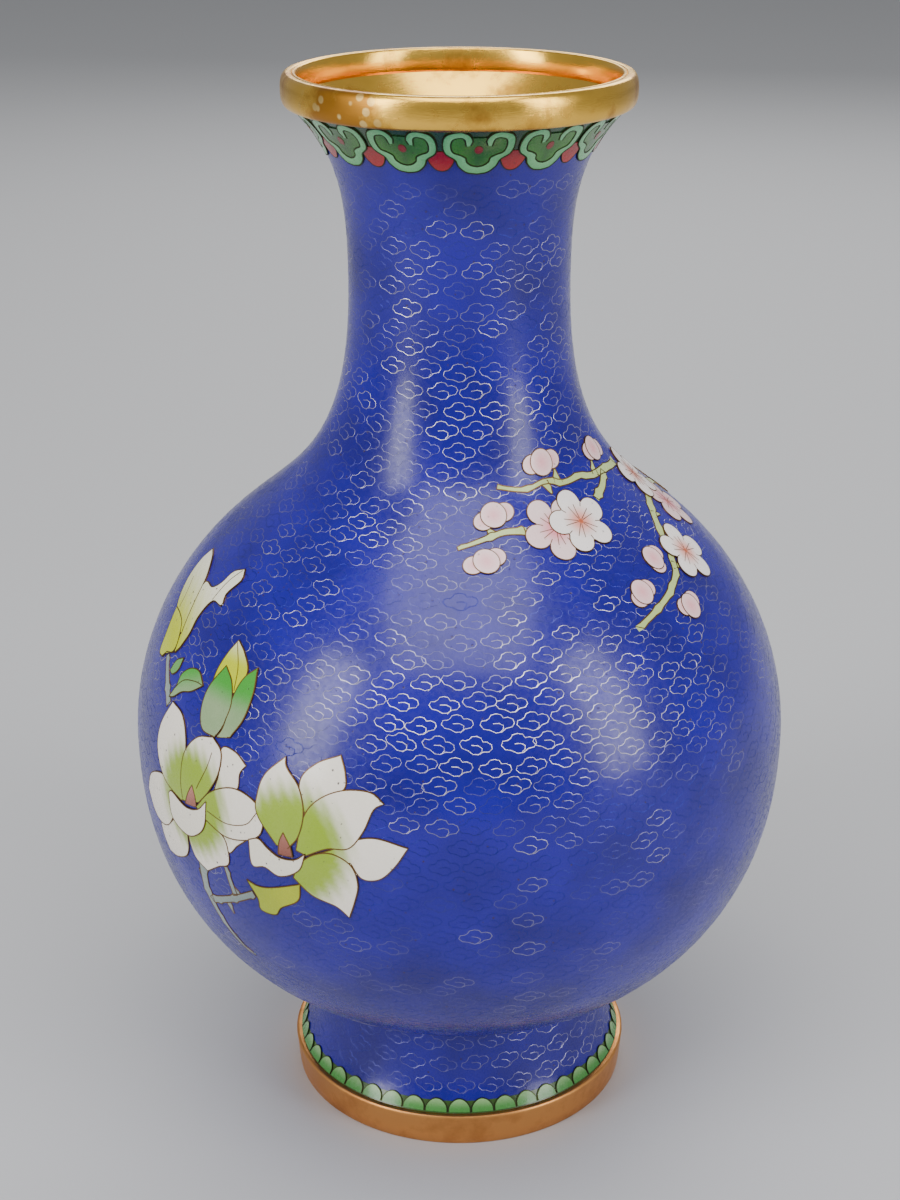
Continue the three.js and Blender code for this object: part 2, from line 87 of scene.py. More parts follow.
_, ground_high = box_of("enamel_body")
_, border_high = box_of("enamel_border")
foot_low, foot_high = box_of("enamel_foot_border")
BELLY_RADIUS = ground_high[1]
MOUTH_RADIUS = border_high[1]
BODY_TOP = border_high[2]
FOOT_RADIUS = foot_high[1]
FOOT_BOTTOM = foot_low[2]
NECK = np.array([25.7, 207.7])
BELLY_HEIGHT = 97.4
BELLY_DROP = 74
BELLY_RISE = 72.4
JOINT_RADIUS = 36.5
JOINT_GAP = 0.9


def bezier(*points, count=500):
    """A curve pulled from its first point to its last by the points between them."""
    t = np.linspace(0, 1, count)[:, None]
    layers = [np.asarray(p, float) * np.ones_like(t) for p in points]
    while len(layers) > 1:
        layers = [a + (b - a) * t for a, b in zip(layers, layers[1:])]
    return layers[0]


class Wall:
    """An outline of radius and height, in millimetres, looked up by distance along it."""

    def __init__(self, curves):
        points = np.vstack([curve[1:] if i else curve for i, curve in enumerate(curves)])
        steps = np.linalg.norm(np.diff(points, axis=0), axis=1)
        self.points = points
        self.at = np.concatenate([[0], np.cumsum(steps)])
        aim = np.gradient(points, self.at, axis=0)
        self.aim = aim / np.linalg.norm(aim, axis=1)[:, None]
        self.length = self.at[-1]

    def radius(self, along):
        """Distance from the axis."""
        return np.interp(along, self.at, self.points[:, 0])

    def profile(self, along, lift):
        """Radius and height of a place raised square to the wall by lift."""
        r, z = (np.interp(along, self.at, self.points[:, i]) for i in (0, 1))
        ar, az = (np.interp(along, self.at, self.aim[:, i]) for i in (0, 1))
        return np.stack([r + lift * az, z - lift * ar], -1)

    def place(self, turn, along, lift):
        """The point in space: the profile turned about the axis, with turn 0 at the front."""
        spot = self.profile(along, lift)
        return np.stack([spot[..., 0] * np.sin(turn), -spot[..., 0] * np.cos(turn),
                         spot[..., 1] + 0 * turn], -1)


power = 2 / 2.25
quarter = np.linspace(np.arcsin((JOINT_RADIUS / BELLY_RADIUS) ** (1 / power)), np.pi / 2, 700)
underside = np.stack([BELLY_RADIUS * np.sin(quarter) ** power,
                      BELLY_HEIGHT - BELLY_DROP * np.abs(np.cos(quarter)) ** power], -1)
over = np.linspace(0, 0.808, 500)
shoulder = np.stack([BELLY_RADIUS * np.cos(over), BELLY_HEIGHT + BELLY_RISE * np.sin(over)], -1)
leave = shoulder[-1] - shoulder[-2]
leave = leave / np.linalg.norm(leave)
flare = np.array([np.sin(0.78), np.cos(0.78)])
mouth = np.array([MOUTH_RADIUS, BODY_TOP])
body = Wall([
    underside, shoulder,
    bezier(shoulder[-1], shoulder[-1] + 19.4 * leave, NECK - [0, 40.2], NECK),
    bezier(NECK, NECK + [0, 15.7], mouth - 15.7 * flare, mouth),
])
joint = underside[0]
foot_top = joint[1] - JOINT_GAP
waist = FOOT_BOTTOM + 0.3 * (foot_top - FOOT_BOTTOM)
foot = Wall([bezier((FOOT_RADIUS, FOOT_BOTTOM), (JOINT_RADIUS + 0.9, waist), (JOINT_RADIUS, foot_top))])
BELT = body.at[len(underside) - 1]
BORDER = body.length - 13
HEAD_LINE = body.length - 8.5
print("wall", round(body.length, 1), "mm, belt at", round(BELT, 1), "foot", round(foot.length, 1))

# %% [markdown]
# Every piece is a closed skin. Three kinds of net cover all of them: a turned profile, a thin slab
# with two sides and an edge, and a strand with a small section carried along a line. Each part's
# volume is measured, and a part that came out inside out is turned round.

# %% Nets and meshes
def ring_faces(rows, cols, closed=True):
    """Faces between neighbouring rows of points, with every row joined into a ring."""
    k = np.arange(rows * cols).reshape(rows, cols)
    right = np.roll(k, -1, 1)
    if closed:
        down, both = np.roll(k, -1, 0), np.roll(right, -1, 0)
        return np.stack([k, right, both, down], -1).reshape(-1, 4)
    return np.stack([k[:-1], right[:-1], right[1:], k[1:]], -1).reshape(-1, 4)


def slab_faces(rows, cols):
    """Upper net, lower net and the edge that joins them round the outside."""
    k = np.arange(rows * cols).reshape(rows, cols)
    under = rows * cols
    top = np.stack([k[:-1, :-1], k[1:, :-1], k[1:, 1:], k[:-1, 1:]], -1).reshape(-1, 4)
    loop = np.concatenate([k[0, :-1], k[:-1, -1], k[-1, :0:-1], k[:0:-1, 0]])
    after = np.roll(loop, -1)
    edge = np.stack([loop, after, after + under, loop + under], -1)
    return np.vstack([top, top[:, ::-1] + under, edge])


def volume(points, faces):
    """Signed volume: a sum over the faces, each split into two triangles."""
    a, b, c, d = (points[faces[:, i]] for i in range(4))
    return (np.einsum("ij,ij->i", a, np.cross(b, c)) + np.einsum("ij,ij->i", a, np.cross(c, d))).sum() / 6


def make_piece(name, parts, material, replaces=(), bend=35):
    """Joins parts of (points, faces, blend) into one mesh, in metres, with every part facing out."""
    points, faces, blends, start = [], [], [], 0
    for spots, net, blend in parts:
        spots = spots.reshape(-1, 3)
        turned_round = volume(spots - spots.mean(0), net) < 0
        points.append(spots * MM)
        faces.append((net[:, ::-1] if turned_round else net) + start)
        blends.append(np.broadcast_to(blend, len(spots)) if np.ndim(blend) < 1 else np.ravel(blend))
        start += len(spots)
    points, faces, blends = np.vstack(points), np.vstack(faces), np.concatenate(blends)
    mesh = bpy.data.meshes.new(name)
    mesh.from_pydata(points, [], faces)
    mesh.attributes.new("blend", "FLOAT", "POINT").data.foreach_set("value", blends.astype(np.float32))
    joined = bmesh.new()
    joined.from_mesh(mesh)
    bmesh.ops.remove_doubles(joined, verts=joined.verts, dist=2e-7)
    bmesh.ops.dissolve_degenerate(joined, edges=joined.edges, dist=1e-8)
    joined.to_mesh(mesh)
    joined.free()
    mesh.shade_smooth()
    mesh.set_sharp_from_angle(angle=np.radians(bend))
    mesh.materials.append(material)
    piece = put_in(name, mesh)
    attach(piece, "root")
    if replaces:
        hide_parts(*replaces)
    print(name, len(mesh.polygons), "faces")
    return piece


def turned(profile, sides=288):
    """A closed profile of radius and height spun once about the axis."""
    angle = np.linspace(0, 2 * np.pi, sides, endpoint=False)[:, None]
    r, z = np.asarray(profile, float).T[:, None, :]
    points = np.stack([r * np.sin(angle), -r * np.cos(angle), z + 0 * angle], -1)
    return points, ring_faces(sides, len(profile)), 0.0


def shell(wall, start, end, outer, inner, rings):
    """A turned skin of the wall between two places along it and two depths."""
    out = wall.profile(np.linspace(start, end, rings), outer)
    back = wall.profile(np.linspace(end, start, max(rings // 3, 2)), inner)
    return turned(np.vstack([out, back]))

# %% [markdown]
# Fired glass is never one flat colour: it is a little cloudy, has pin-holes where bubbles broke,
# and ripples slightly where it was ground and polished. One node group makes all three for every
# enamel, and each enamel brings its own two colours and how cloudy it is.

# %% Colour and node helpers
def paint(r, g, b):
    """A colour given as 0 to 255 for the eye, as the linear values the shader wants."""
    c = np.array([r, g, b]) / 255
    return (*np.where(c < 0.04045, c / 12.92, ((c + 0.055) / 1.055) ** 2.4), 1.0)


def add(tree, kind, values=None, **settings):
    """Adds a node, sets it up, and links or sets each named input."""
    made = tree.nodes.new(kind)
    for key, value in settings.items():
        setattr(made, key, value)
    for key, value in (values or {}).items():
        if isinstance(value, bpy.types.NodeSocket):
            tree.links.new(value, made.inputs[key])
        else:
            made.inputs[key].default_value = value
    return made


def new_group(name, inputs, outputs):
    """An empty node group with named sockets."""
    group = bpy.data.node_groups.new(name, "ShaderNodeTree")
    for kind, sockets in (("INPUT", inputs), ("OUTPUT", outputs)):
        for label, socket in sockets.items():
            group.interface.new_socket(label, in_out=kind, socket_type="NodeSocket" + socket)
    return group, add(group, "NodeGroupInput").outputs, add(group, "NodeGroupOutput").inputs


def mixed(tree, factor, a, b):
    """One colour over another."""
    made = add(tree, "ShaderNodeMix", data_type="RGBA")
    for socket, value in ((made.inputs[0], factor), (made.inputs[6], a), (made.inputs[7], b)):
        if isinstance(value, bpy.types.NodeSocket):
            tree.links.new(value, socket)
        else:
            socket.default_value = value
    return made.outputs[2]


def ranged(tree, value, low, high, to_low=0.0, to_high=1.0):
    """Stretches the part of a value between low and high, and clips the rest."""
    return add(tree, "ShaderNodeMapRange", {
        "Value": value, "From Min": low, "From Max": high, "To Min": to_low, "To Max": to_high}).outputs[0]


def worked(tree, operation, a, b):
    """Two values put together by one sum."""
    return add(tree, "ShaderNodeMath", {0: a, 1: b}, operation=operation).outputs[0]


def noise(tree, place, scale, detail, roughness=0.5):
    """Cloudy noise, with its scale in lumps to the metre."""
    return add(tree, "ShaderNodeTexNoise", {
        "Vector": place, "Scale": scale, "Detail": detail, "Roughness": roughness}).outputs[0]


def material_of(name, slot, group, settings):
    """A material whose shader takes its colour, roughness and normal from a group with these settings."""
    material = bpy.data.materials.new(name)
    material["slot"] = slot
    material.use_nodes = True
    tree = material.node_tree
    shader = tree.nodes["Principled BSDF"]
    used = add(tree, "ShaderNodeGroup", settings, node_tree=group)
    for label, socket in (("Color", "Base Color"), ("Roughness", "Roughness"), ("Normal", "Normal")):
        tree.links.new(used.outputs[label], shader.inputs[socket])
    return material, tree, shader, used.inputs


def blended(tree, color, edge):
    """One colour to another by the piece's own blend value."""
    blend = add(tree, "ShaderNodeAttribute", attribute_name="blend").outputs["Fac"]
    return mixed(tree, blend, paint(*color), paint(*edge))


# %% Fired glass
glass, given, out = new_group(
    "fired_glass",
    {"Color": "Color", "Deep Color": "Color", "Cloudiness": "Float", "Pits": "Float", "Ripple": "Float"},
    {"Color": "Color", "Roughness": "Float", "Normal": "Vector"})
place = add(glass, "ShaderNodeTexCoord").outputs["Object"]
clouding = noise(glass, place, 55.0, 5.0)
fine = noise(glass, place, 900.0, 3.0)
pits = add(glass, "ShaderNodeTexVoronoi", {"Vector": place, "Scale": 520.0, "Randomness": 1.0}).outputs[0]
hole = ranged(glass, pits, 0.08, 0.19, 1.0, 0.0)
spot = worked(glass, "MULTIPLY", hole, ranged(glass, fine, 0.52, 0.6))
spotted = worked(glass, "MULTIPLY", spot, given["Pits"])
cloud_share = worked(glass, "MULTIPLY", ranged(glass, clouding, 0.35, 0.7), given["Cloudiness"])
clouded = mixed(glass, cloud_share, given["Color"], given["Deep Color"])
glass.links.new(mixed(glass, spotted, clouded, paint(56, 36, 26)), out["Color"])
glass.links.new(ranged(glass, fine, 0.3, 0.75, 0.2, 0.36), out["Roughness"])
rippled = worked(glass, "MULTIPLY", noise(glass, place, 160.0, 2.0), given["Ripple"])
height = worked(glass, "SUBTRACT", rippled, spotted)
relief = add(glass, "ShaderNodeBump", {"Height": height, "Strength": 0.5, "Distance": 0.00012}).outputs[0]
glass.links.new(relief, out["Normal"])


def enamel(name, slot, color, edge, deep, cloudiness=0.5, pit=0.5, ripple=0.5, coat=0.4):
    """An enamel that goes from its colour to its edge colour, if it has one, by the piece's blend value."""
    material, tree, shader, inputs = material_of(name, slot, glass, {
        "Deep Color": paint(*deep), "Cloudiness": cloudiness, "Pits": pit, "Ripple": ripple})
    tree.links.new(blended(tree, color, edge or color), inputs["Color"])
    shader.inputs["Coat Weight"].default_value = coat
    shader.inputs["Coat Roughness"].default_value = 0.12
    return material


cobalt = enamel("cobalt_glass", "cobalt_enamel", (28, 6, 152), None, (15, 3, 100), 0.7, 0.8, 0.6, 0.12)
border_green = enamel("dark_green_glass", "border_enamel", (40, 78, 44), None, (24, 56, 28), 0.6)
field_green = enamel("leaf_green_glass", "border_enamel", (62, 132, 34), (36, 100, 26), (26, 74, 20), 0.6)
scallop_green = enamel("scallop_green_glass", "scallop_enamel", (156, 202, 132), (74, 148, 64),
                       (58, 124, 52), 0.5)
scallop_ground = enamel("olive_glass", "lime_enamel", (58, 92, 26), None, (40, 66, 20), 0.6)
jade = enamel("jade_glass", "jade_enamel", (96, 176, 112), (124, 200, 136), (80, 152, 94), 0.5)
lappet_red = enamel("red_glass", "border_enamel", (176, 14, 18), (146, 10, 16), (110, 8, 12), 0.5)
dot_red = enamel("brick_red_glass", "border_enamel", (150, 30, 20), (122, 30, 20), (96, 24, 16), 0.5)
petal_white = enamel("white_and_lime_glass", "white_enamel", (146, 178, 0), (255, 247, 233), (228, 222, 170),
                     0.08, 1.0)
bud_yellow = enamel("white_and_yellow_glass", "white_enamel", (200, 210, 0), (250, 246, 226), (206, 208, 10),
                    0.1, 1.0)
cone_pink = enamel("rosy_brown_glass", "white_enamel", (150, 82, 64), (206, 138, 118), (120, 62, 50), 0.6)
calyx_lime = enamel("lime_glass", "lime_enamel", (176, 192, 0), (190, 200, 12), (142, 160, 4), 0.6)
leaf_green = enamel("fresh_green_glass", "leaf_enamel", (66, 168, 52), (158, 178, 136), (52, 140, 44), 0.4)
twig_gray = enamel("gray_twig_glass", "twig_enamel", (134, 152, 152), (156, 168, 158), (100, 118, 118), 0.7)
pale_twig = enamel("pale_green_glass", "pale_twig_enamel", (204, 220, 146), None, (170, 190, 106), 0.6)
pink = enamel("pink_glass", "pink_enamel", (240, 128, 146), (252, 226, 224), (244, 184, 190), 0.4)
blush = enamel("blush_glass", "blush_enamel", (242, 150, 128), (255, 248, 244), (250, 232, 226), 0.2)
heart_brown = enamel("orange_brown_glass", "pink_enamel", (186, 84, 50), (214, 120, 84), (156, 70, 44), 0.5)
lining_blue = enamel("lining_glass", "counter_enamel", (34, 92, 130), None, (22, 66, 100), 0.8, 0.8, 0.9, 0.2)

# %% [markdown]
# Gilding wears and tarnishes. A second group lays brown over the gold in soft patches, leaves a few
# pale drops where the gold ran thick, and scratches it finely round the rim. The copper, the gilt and
# the wires all use it, each with its own colours.

# %% Worn metal
STAIN = (-0.0252, -0.0305, 0.2452)
worn, given, out = new_group(
    "worn_metal",
    {"Color": "Color", "Tarnish Color": "Color", "Tarnish": "Float", "Spread": "Float",
     "Patch Scale": "Float", "Drops": "Float", "Polish": "Float"},
    {"Color": "Color", "Roughness": "Float", "Normal": "Vector"})
place = add(worn, "ShaderNodeTexCoord").outputs["Object"]
mottle = noise(worn, place, given["Patch Scale"], 7.0, 0.62)
stain_way = add(worn, "ShaderNodeVectorMath", {0: place, 1: STAIN}, operation="DISTANCE").outputs["Value"]
stained = worked(worn, "MULTIPLY", ranged(worn, stain_way, 0.003, 0.016, 1.0, 0.0), given["Drops"])
browner = worked(worn, "ADD", given["Spread"], ranged(worn, stained, 0.0, 1.0, 0.0, 0.3))
patches = worked(worn, "ADD", mottle, browner)
drops = add(worn, "ShaderNodeTexVoronoi", {"Vector": place, "Scale": 330.0}).outputs[0]
flat = add(worn, "ShaderNodeVectorMath", {0: place, 1: (1.0, 1.0, 14.0)}, operation="MULTIPLY").outputs[0]
scratch = noise(worn, flat, 420.0, 4.0)
brown = worked(worn, "MULTIPLY", ranged(worn, patches, 0.5, 0.68), given["Tarnish"])
drop = worked(worn, "MULTIPLY", ranged(worn, drops, 0.26, 0.34, 1.0, 0.0), stained)
tarnished = mixed(worn, brown, given["Color"], given["Tarnish Color"])
worn.links.new(mixed(worn, drop, tarnished, paint(250, 220, 140)), out["Color"])
rough = worked(worn, "ADD", given["Polish"], ranged(worn, patches, 0.35, 0.75, 0.0, 0.22))
worn.links.new(rough, out["Roughness"])
relief = add(worn, "ShaderNodeBump", {"Height": scratch, "Strength": 0.35, "Distance": 0.00008}).outputs[0]
worn.links.new(relief, out["Normal"])


def metal(name, slot, color, tarnish_color, tarnish, polish, drop_share=0.0, spread=0.0, patch_scale=85.0):
    """A worn metal in its own two colours. A piece's blend value says how tarnished it is all over; on the
    cloud wires it is partly wear and partly painted sheen.
    """
    material, tree, shader, inputs = material_of(name, slot, worn, {
        "Tarnish Color": paint(*tarnish_color), "Tarnish": tarnish, "Spread": spread,
        "Patch Scale": patch_scale, "Drops": drop_share, "Polish": polish})
    tree.links.new(blended(tree, color, tarnish_color), inputs["Color"])
    shader.inputs["Metallic"].default_value = 1.0
    return material


gilt = metal("gilding", "gilt", (255, 202, 84), (150, 82, 20), 0.75, 0.17, 1.0)
foot_gilt = metal("foot_gilding", "gilt", (224, 158, 90), (166, 104, 52), 0.5, 0.34)
# The cloud wires run from near-white to the blue of the ground by their blend value, which paints a sheen
# where light catches them.
cloud_wire = metal("cloud_wire", "wire", (246, 240, 244), (50, 54, 150), 0.6, 0.3, 0.0, 0.0, 60.0)
dark_wire = metal("petal_wire", "wire", (124, 92, 56), (64, 48, 34), 0.6, 0.4)
border_wire = metal("border_wire", "wire", (66, 72, 44), (34, 40, 26), 0.6, 0.4)
copper = metal("bare_copper", "copper", (170, 98, 62), (90, 54, 38), 0.7, 0.4)

# %% [markdown]
# The ground is a thin skin of glass. It lies a few tenths of a millimetre under the finished
# surface, which leaves room above it for the wires and for the cells of the design.

# %% Ground, copper and lining
GROUND = -0.4
BACK = -1.0
COPPER = (-1.15, -2.2)
LINING = (-2.25, -2.85)
SLEEVE = (-2.3, -2.8)
SLEEVE_DEPTH = 22
OLIVE_HEIGHT = 3.2
make_piece("ground_body", [shell(body, 0.02, HEAD_LINE + 1, GROUND, BACK, 230)], cobalt, ["enamel_body"])
make_piece("ground_border", [shell(body, HEAD_LINE + 1.02, body.length, GROUND, BACK, 24)], border_green,
           ["enamel_border"])
make_piece("ground_foot", [shell(foot, OLIVE_HEIGHT, foot.length, GROUND, BACK, 40)], cobalt, ["enamel_foot"])
make_piece("ground_scallops", [shell(foot, 0, OLIVE_HEIGHT - 0.02, GROUND, BACK, 8)], scallop_ground,
           ["enamel_foot_border"])
make_piece("copper_body", [shell(body, 0.02, body.length, *COPPER, 150)], copper,
           ["copper_neck", "copper_upper_belly", "copper_lower_belly"])
make_piece("copper_foot_wall", [shell(foot, 0, foot.length, *COPPER, 24)], copper, ["copper_foot"])
make_piece("lining", [shell(body, 0.02, body.length - SLEEVE_DEPTH - 0.1, *LINING, 120)], lining_blue,
           ["enamel_lining"])
base_low, base_high = box_of("enamel_base")
base_section = [(0, base_low[2]), (base_high[0], base_low[2]),
                (base_high[0], base_high[2]), (0, base_high[2])]
make_piece("base_enamel", [turned(base_section, 144)], lining_blue, ["enamel_base"])
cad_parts["copper_base_plate"].data.materials.clear()
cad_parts["copper_base_plate"].data.materials.append(copper)

# %% [markdown]
# The mouth rim is a cast ring with a rounded outer face and a fine groove near the inner edge of its
# top. The foot rim is a plainer band that narrows a little towards the table.

# %% Rims
def rounded_ring(low, high, bore, wall_out, bulge, rounding, count=40):
    """A straight bore and an outer face that is half of a squared-off ellipse."""
    angle = np.linspace(-np.pi / 2, np.pi / 2, count)
    middle, half = (low + high) / 2, (high - low) / 2
    out_face = np.stack([bore + wall_out + bulge * np.abs(np.cos(angle)) ** rounding,
                         middle + half * np.sign(angle) * np.abs(np.sin(angle)) ** rounding], -1)
    lip = [(bore + 1.2, high), (bore + 1.02, high - 0.1), (bore + 0.9, high - 0.32),
           (bore + 0.78, high - 0.1), (bore + 0.62, high), (bore + 0.25, high - 0.08), (bore, high - 0.35)]
    return np.vstack([out_face, lip, [(bore, low + 0.3), (bore + 0.3, low)]])


rim_low, rim_high = box_of("gilt_mouth_rim")
mouth_ring = rounded_ring(rim_low[2], rim_high[2], MOUTH_RADIUS - 1.4, 1.7, 1.8, 0.77)
make_piece("mouth_rim", [turned(mouth_ring, 360)], gilt, ["gilt_mouth_rim"], bend=50)
make_piece("mouth_sleeve", [shell(body, body.length - SLEEVE_DEPTH, body.length, *SLEEVE, 60)], gilt,
           ["gilt_mouth_sleeve"])
_, (rim_out, _, rim_top) = box_of("gilt_foot_rim")
make_piece("foot_rim", [turned([
    (rim_out - 4, 0.3), (rim_out - 3.7, 0), (rim_out - 1.1, 0), (rim_out - 0.8, 0.3), (rim_out - 0.5, 3),
    (rim_out - 0.1, rim_top - 1.2), (rim_out - 0.02, rim_top - 0.6), (rim_out - 0.15, rim_top - 0.25),
    (rim_out - 0.4, rim_top - 0.05), (rim_out - 0.7, rim_top), (rim_out - 4, rim_top)], 288)],
    foot_gilt, ["gilt_foot_rim"], bend=50)
(_, _, wire_bottom), (wire_out, _, wire_top) = box_of("foot_joint_wire")
make_piece("joint_wire", [turned([
    (JOINT_RADIUS - 1, wire_bottom), (JOINT_RADIUS, wire_bottom), (wire_out - 0.02, wire_bottom + 0.2),
    (wire_out - 0.02, wire_top - 0.2), (JOINT_RADIUS, wire_top), (JOINT_RADIUS - 1, wire_top)])],
    dark_wire, ["foot_joint_wire"], bend=60)

# %% [markdown]
# A wire is bent on edge to the line of the drawing and ground level with the glass, so what shows is
# its top, a third of a millimetre wide. Here a small section is carried along each line. The lines are
# flowing curves through a few points, with their new points evenly spaced.

# %% Strands
def flowing(points, count, closed=False):
    """A smooth curve through the points: between two of them each coordinate is a cubic in t."""
    p = np.asarray(points, float)
    open_ends = [2 * p[0] - p[1], p, 2 * p[-1] - p[-2]]
    padded = np.vstack([p[-1], p, p[0], p[1]] if closed else open_ends)
    a, b, c, d = padded[:-3, None], padded[1:-2, None], padded[2:-1, None], padded[3:, None]
    t = np.linspace(0, 1, 24, endpoint=False)[None, :, None]
    curve = 0.5 * (2 * b + (c - a) * t + (2 * a - 5 * b + 4 * c - d) * t ** 2
                   + (3 * b - a - 3 * c + d) * t ** 3)
    curve = np.vstack([curve.reshape(-1, 2), p[:1] if closed else p[-1:]])
    at = np.concatenate([[0], np.cumsum(np.linalg.norm(np.diff(curve, axis=0), axis=1))])
    wanted = np.linspace(0, at[-1], count + 1)[:-1] if closed else np.linspace(0, at[-1], count)
    return np.stack([np.interp(wanted, at, curve[:, i]) for i in (0, 1)], -1)


def strand(line, width, low, high, closed=True, sides=4):
    """Flat places and lifts of a section carried along a line: a level top with two sloping flanks."""
    before, after = (np.roll(line, 1, 0), np.roll(line, -1, 0)) if closed else (
        np.vstack([line[:1], line[:-1]]), np.vstack([line[1:], line[-1:]]))
    aim = after - before
    aim = aim / np.maximum(np.linalg.norm(aim, axis=1), 1e-9)[:, None]
    across = np.stack([-aim[:, 1], aim[:, 0]], -1) * width / 2
    shares = [-1, 1, 0.75, -0.75] if sides == 4 else [-1, 1, 0]
    lifts = [low, low] + [high] * (sides - 2)
    flat_places = line[:, None] + across[:, None] * np.array(shares)[None, :, None]
    return flat_places, np.broadcast_to(lifts, flat_places.shape[:2])


def strand_faces(count, sides, closed=True):
    """The net of a strand. An open one is shut by a face at each end."""
    faces = ring_faces(count, sides, closed)
    if closed:
        return faces
    first, last = np.arange(sides), np.arange(sides) + (count - 1) * sides
    ends = [first[::-1], last] if sides == 4 else [first[[2, 1, 0, 0]], last[[0, 1, 2, 2]]]
    return np.vstack([faces, ends])

# %% [markdown]
# A spray was drawn flat and then bent round the vase. Rolling a flat drawing round a wall that
# narrows is like wrapping a paper cone: a level line on the vase is an arc about the cone's tip.

# %% Sheets
LAYER = 0.03
PROUD = 0.018
TOP = -0.04
BED = GROUND - 0.1
SUNK = GROUND - 0.05


class Sheet:
    """A flat drawing that touches the wall at one place and wraps round it like a cone."""

    def __init__(self, along, turn, wall=body):
        self.wall, self.along, self.turn = wall, along, np.radians(turn)
        narrowing = -np.interp(along, wall.at, wall.aim[:, 0])
        self.apex = wall.radius(along) / (narrowing if abs(narrowing) > 1e-4 else 1e-4)

    def place(self, flat_places, lift):
        """Distance from the cone's tip gives the place along the wall, and the angle there the turn."""
        x, y = flat_places[..., 0], flat_places[..., 1]
        reach = np.sign(self.apex) * np.hypot(x, self.apex - y)
        arc = reach * np.arctan(x / (self.apex - y))
        along = self.along + self.apex - reach
        return self.wall.place(self.turn + arc / self.wall.radius(along), along, lift)

    def wire(self, line, low, high, width=0.36, closed=True):
        """A strand laid on the wall, standing a little proud of the glass at high."""
        flat_places, lifts = strand(line, width, low, high + PROUD, closed)
        return self.place(flat_places, lifts), strand_faces(len(line), 4, closed), 0.0

    def patch(self, grid, high, blend, faces=slab_faces):
        """A slab over a net of flat places, with a blend value for each of them."""
        upper, lower = self.place(grid, high), self.place(grid, BED)
        values = np.broadcast_to(blend, grid.shape[:2]).ravel()
        points = np.vstack([upper.reshape(-1, 3), lower.reshape(-1, 3)])
        return points, faces(*grid.shape[:2]), np.concatenate([values, values])


def between(side, back, rows=26, cols=14):
    """A net between two edges: each row runs straight from one to the other."""
    there, here = flowing(side, rows), flowing(back, rows)[::-1]
    share = np.linspace(0, 1, cols)[None, :, None]
    return there[:, None] * (1 - share) + here[:, None] * share


def around(side, back, count=30):
    """The outline: along one edge to the tip and back along the other."""
    return np.vstack([flowing(side, count)[:-1], flowing(back, count)])


def smooth_step(value, low, high):
    """0 below low, 1 above high, and an easy slope between."""
    t = np.clip((value - low) / (high - low), 0, 1)
    return t * t * (3 - 2 * t)


def oval(x, y, wide, tall, rows=9, cols=20):
    """A net of rings round a middle point."""
    out, angle = np.meshgrid(np.linspace(0, 1, rows), np.linspace(0, 2 * np.pi, cols + 1), indexing="ij")
    return np.stack([x + out * wide * np.cos(angle), y + out * tall * np.sin(angle)], -1)


def disc_faces(rows, cols):
    """The net of a round slab: its rings close on themselves and its middle is one point."""
    k = np.arange(rows * cols).reshape(rows, cols)[:, :-1]
    under = rows * cols
    right = np.roll(k, -1, 1)
    top = np.stack([k[:-1], k[1:], right[1:], right[:-1]], -1).reshape(-1, 4)
    edge = np.stack([right[-1], k[-1], k[-1] + under, right[-1] + under], -1)
    return np.vstack([top, top[:, ::-1] + under, edge])


def disc(sheet, x, y, wide, tall, high, inner=0.0):
    """A round slab whose blend value grows from its middle to its edge."""
    grid = oval(x, y, wide, tall)
    return sheet.patch(grid, high, inner + (1 - inner) * np.linspace(0, 1, len(grid))[:, None], disc_faces)

# %% [markdown]
# The magnolia spray sits on the widest place, left of the front. Each petal is one cell with its own
# wire. A petal in front lies a hair higher than the one behind, which hides that one's covered wire
# just as the enameller leaves it out. The glass is yellow-green at the heart and white at the tip.

# %% Magnolia drawing
magnolia = Sheet(BELT, -50)
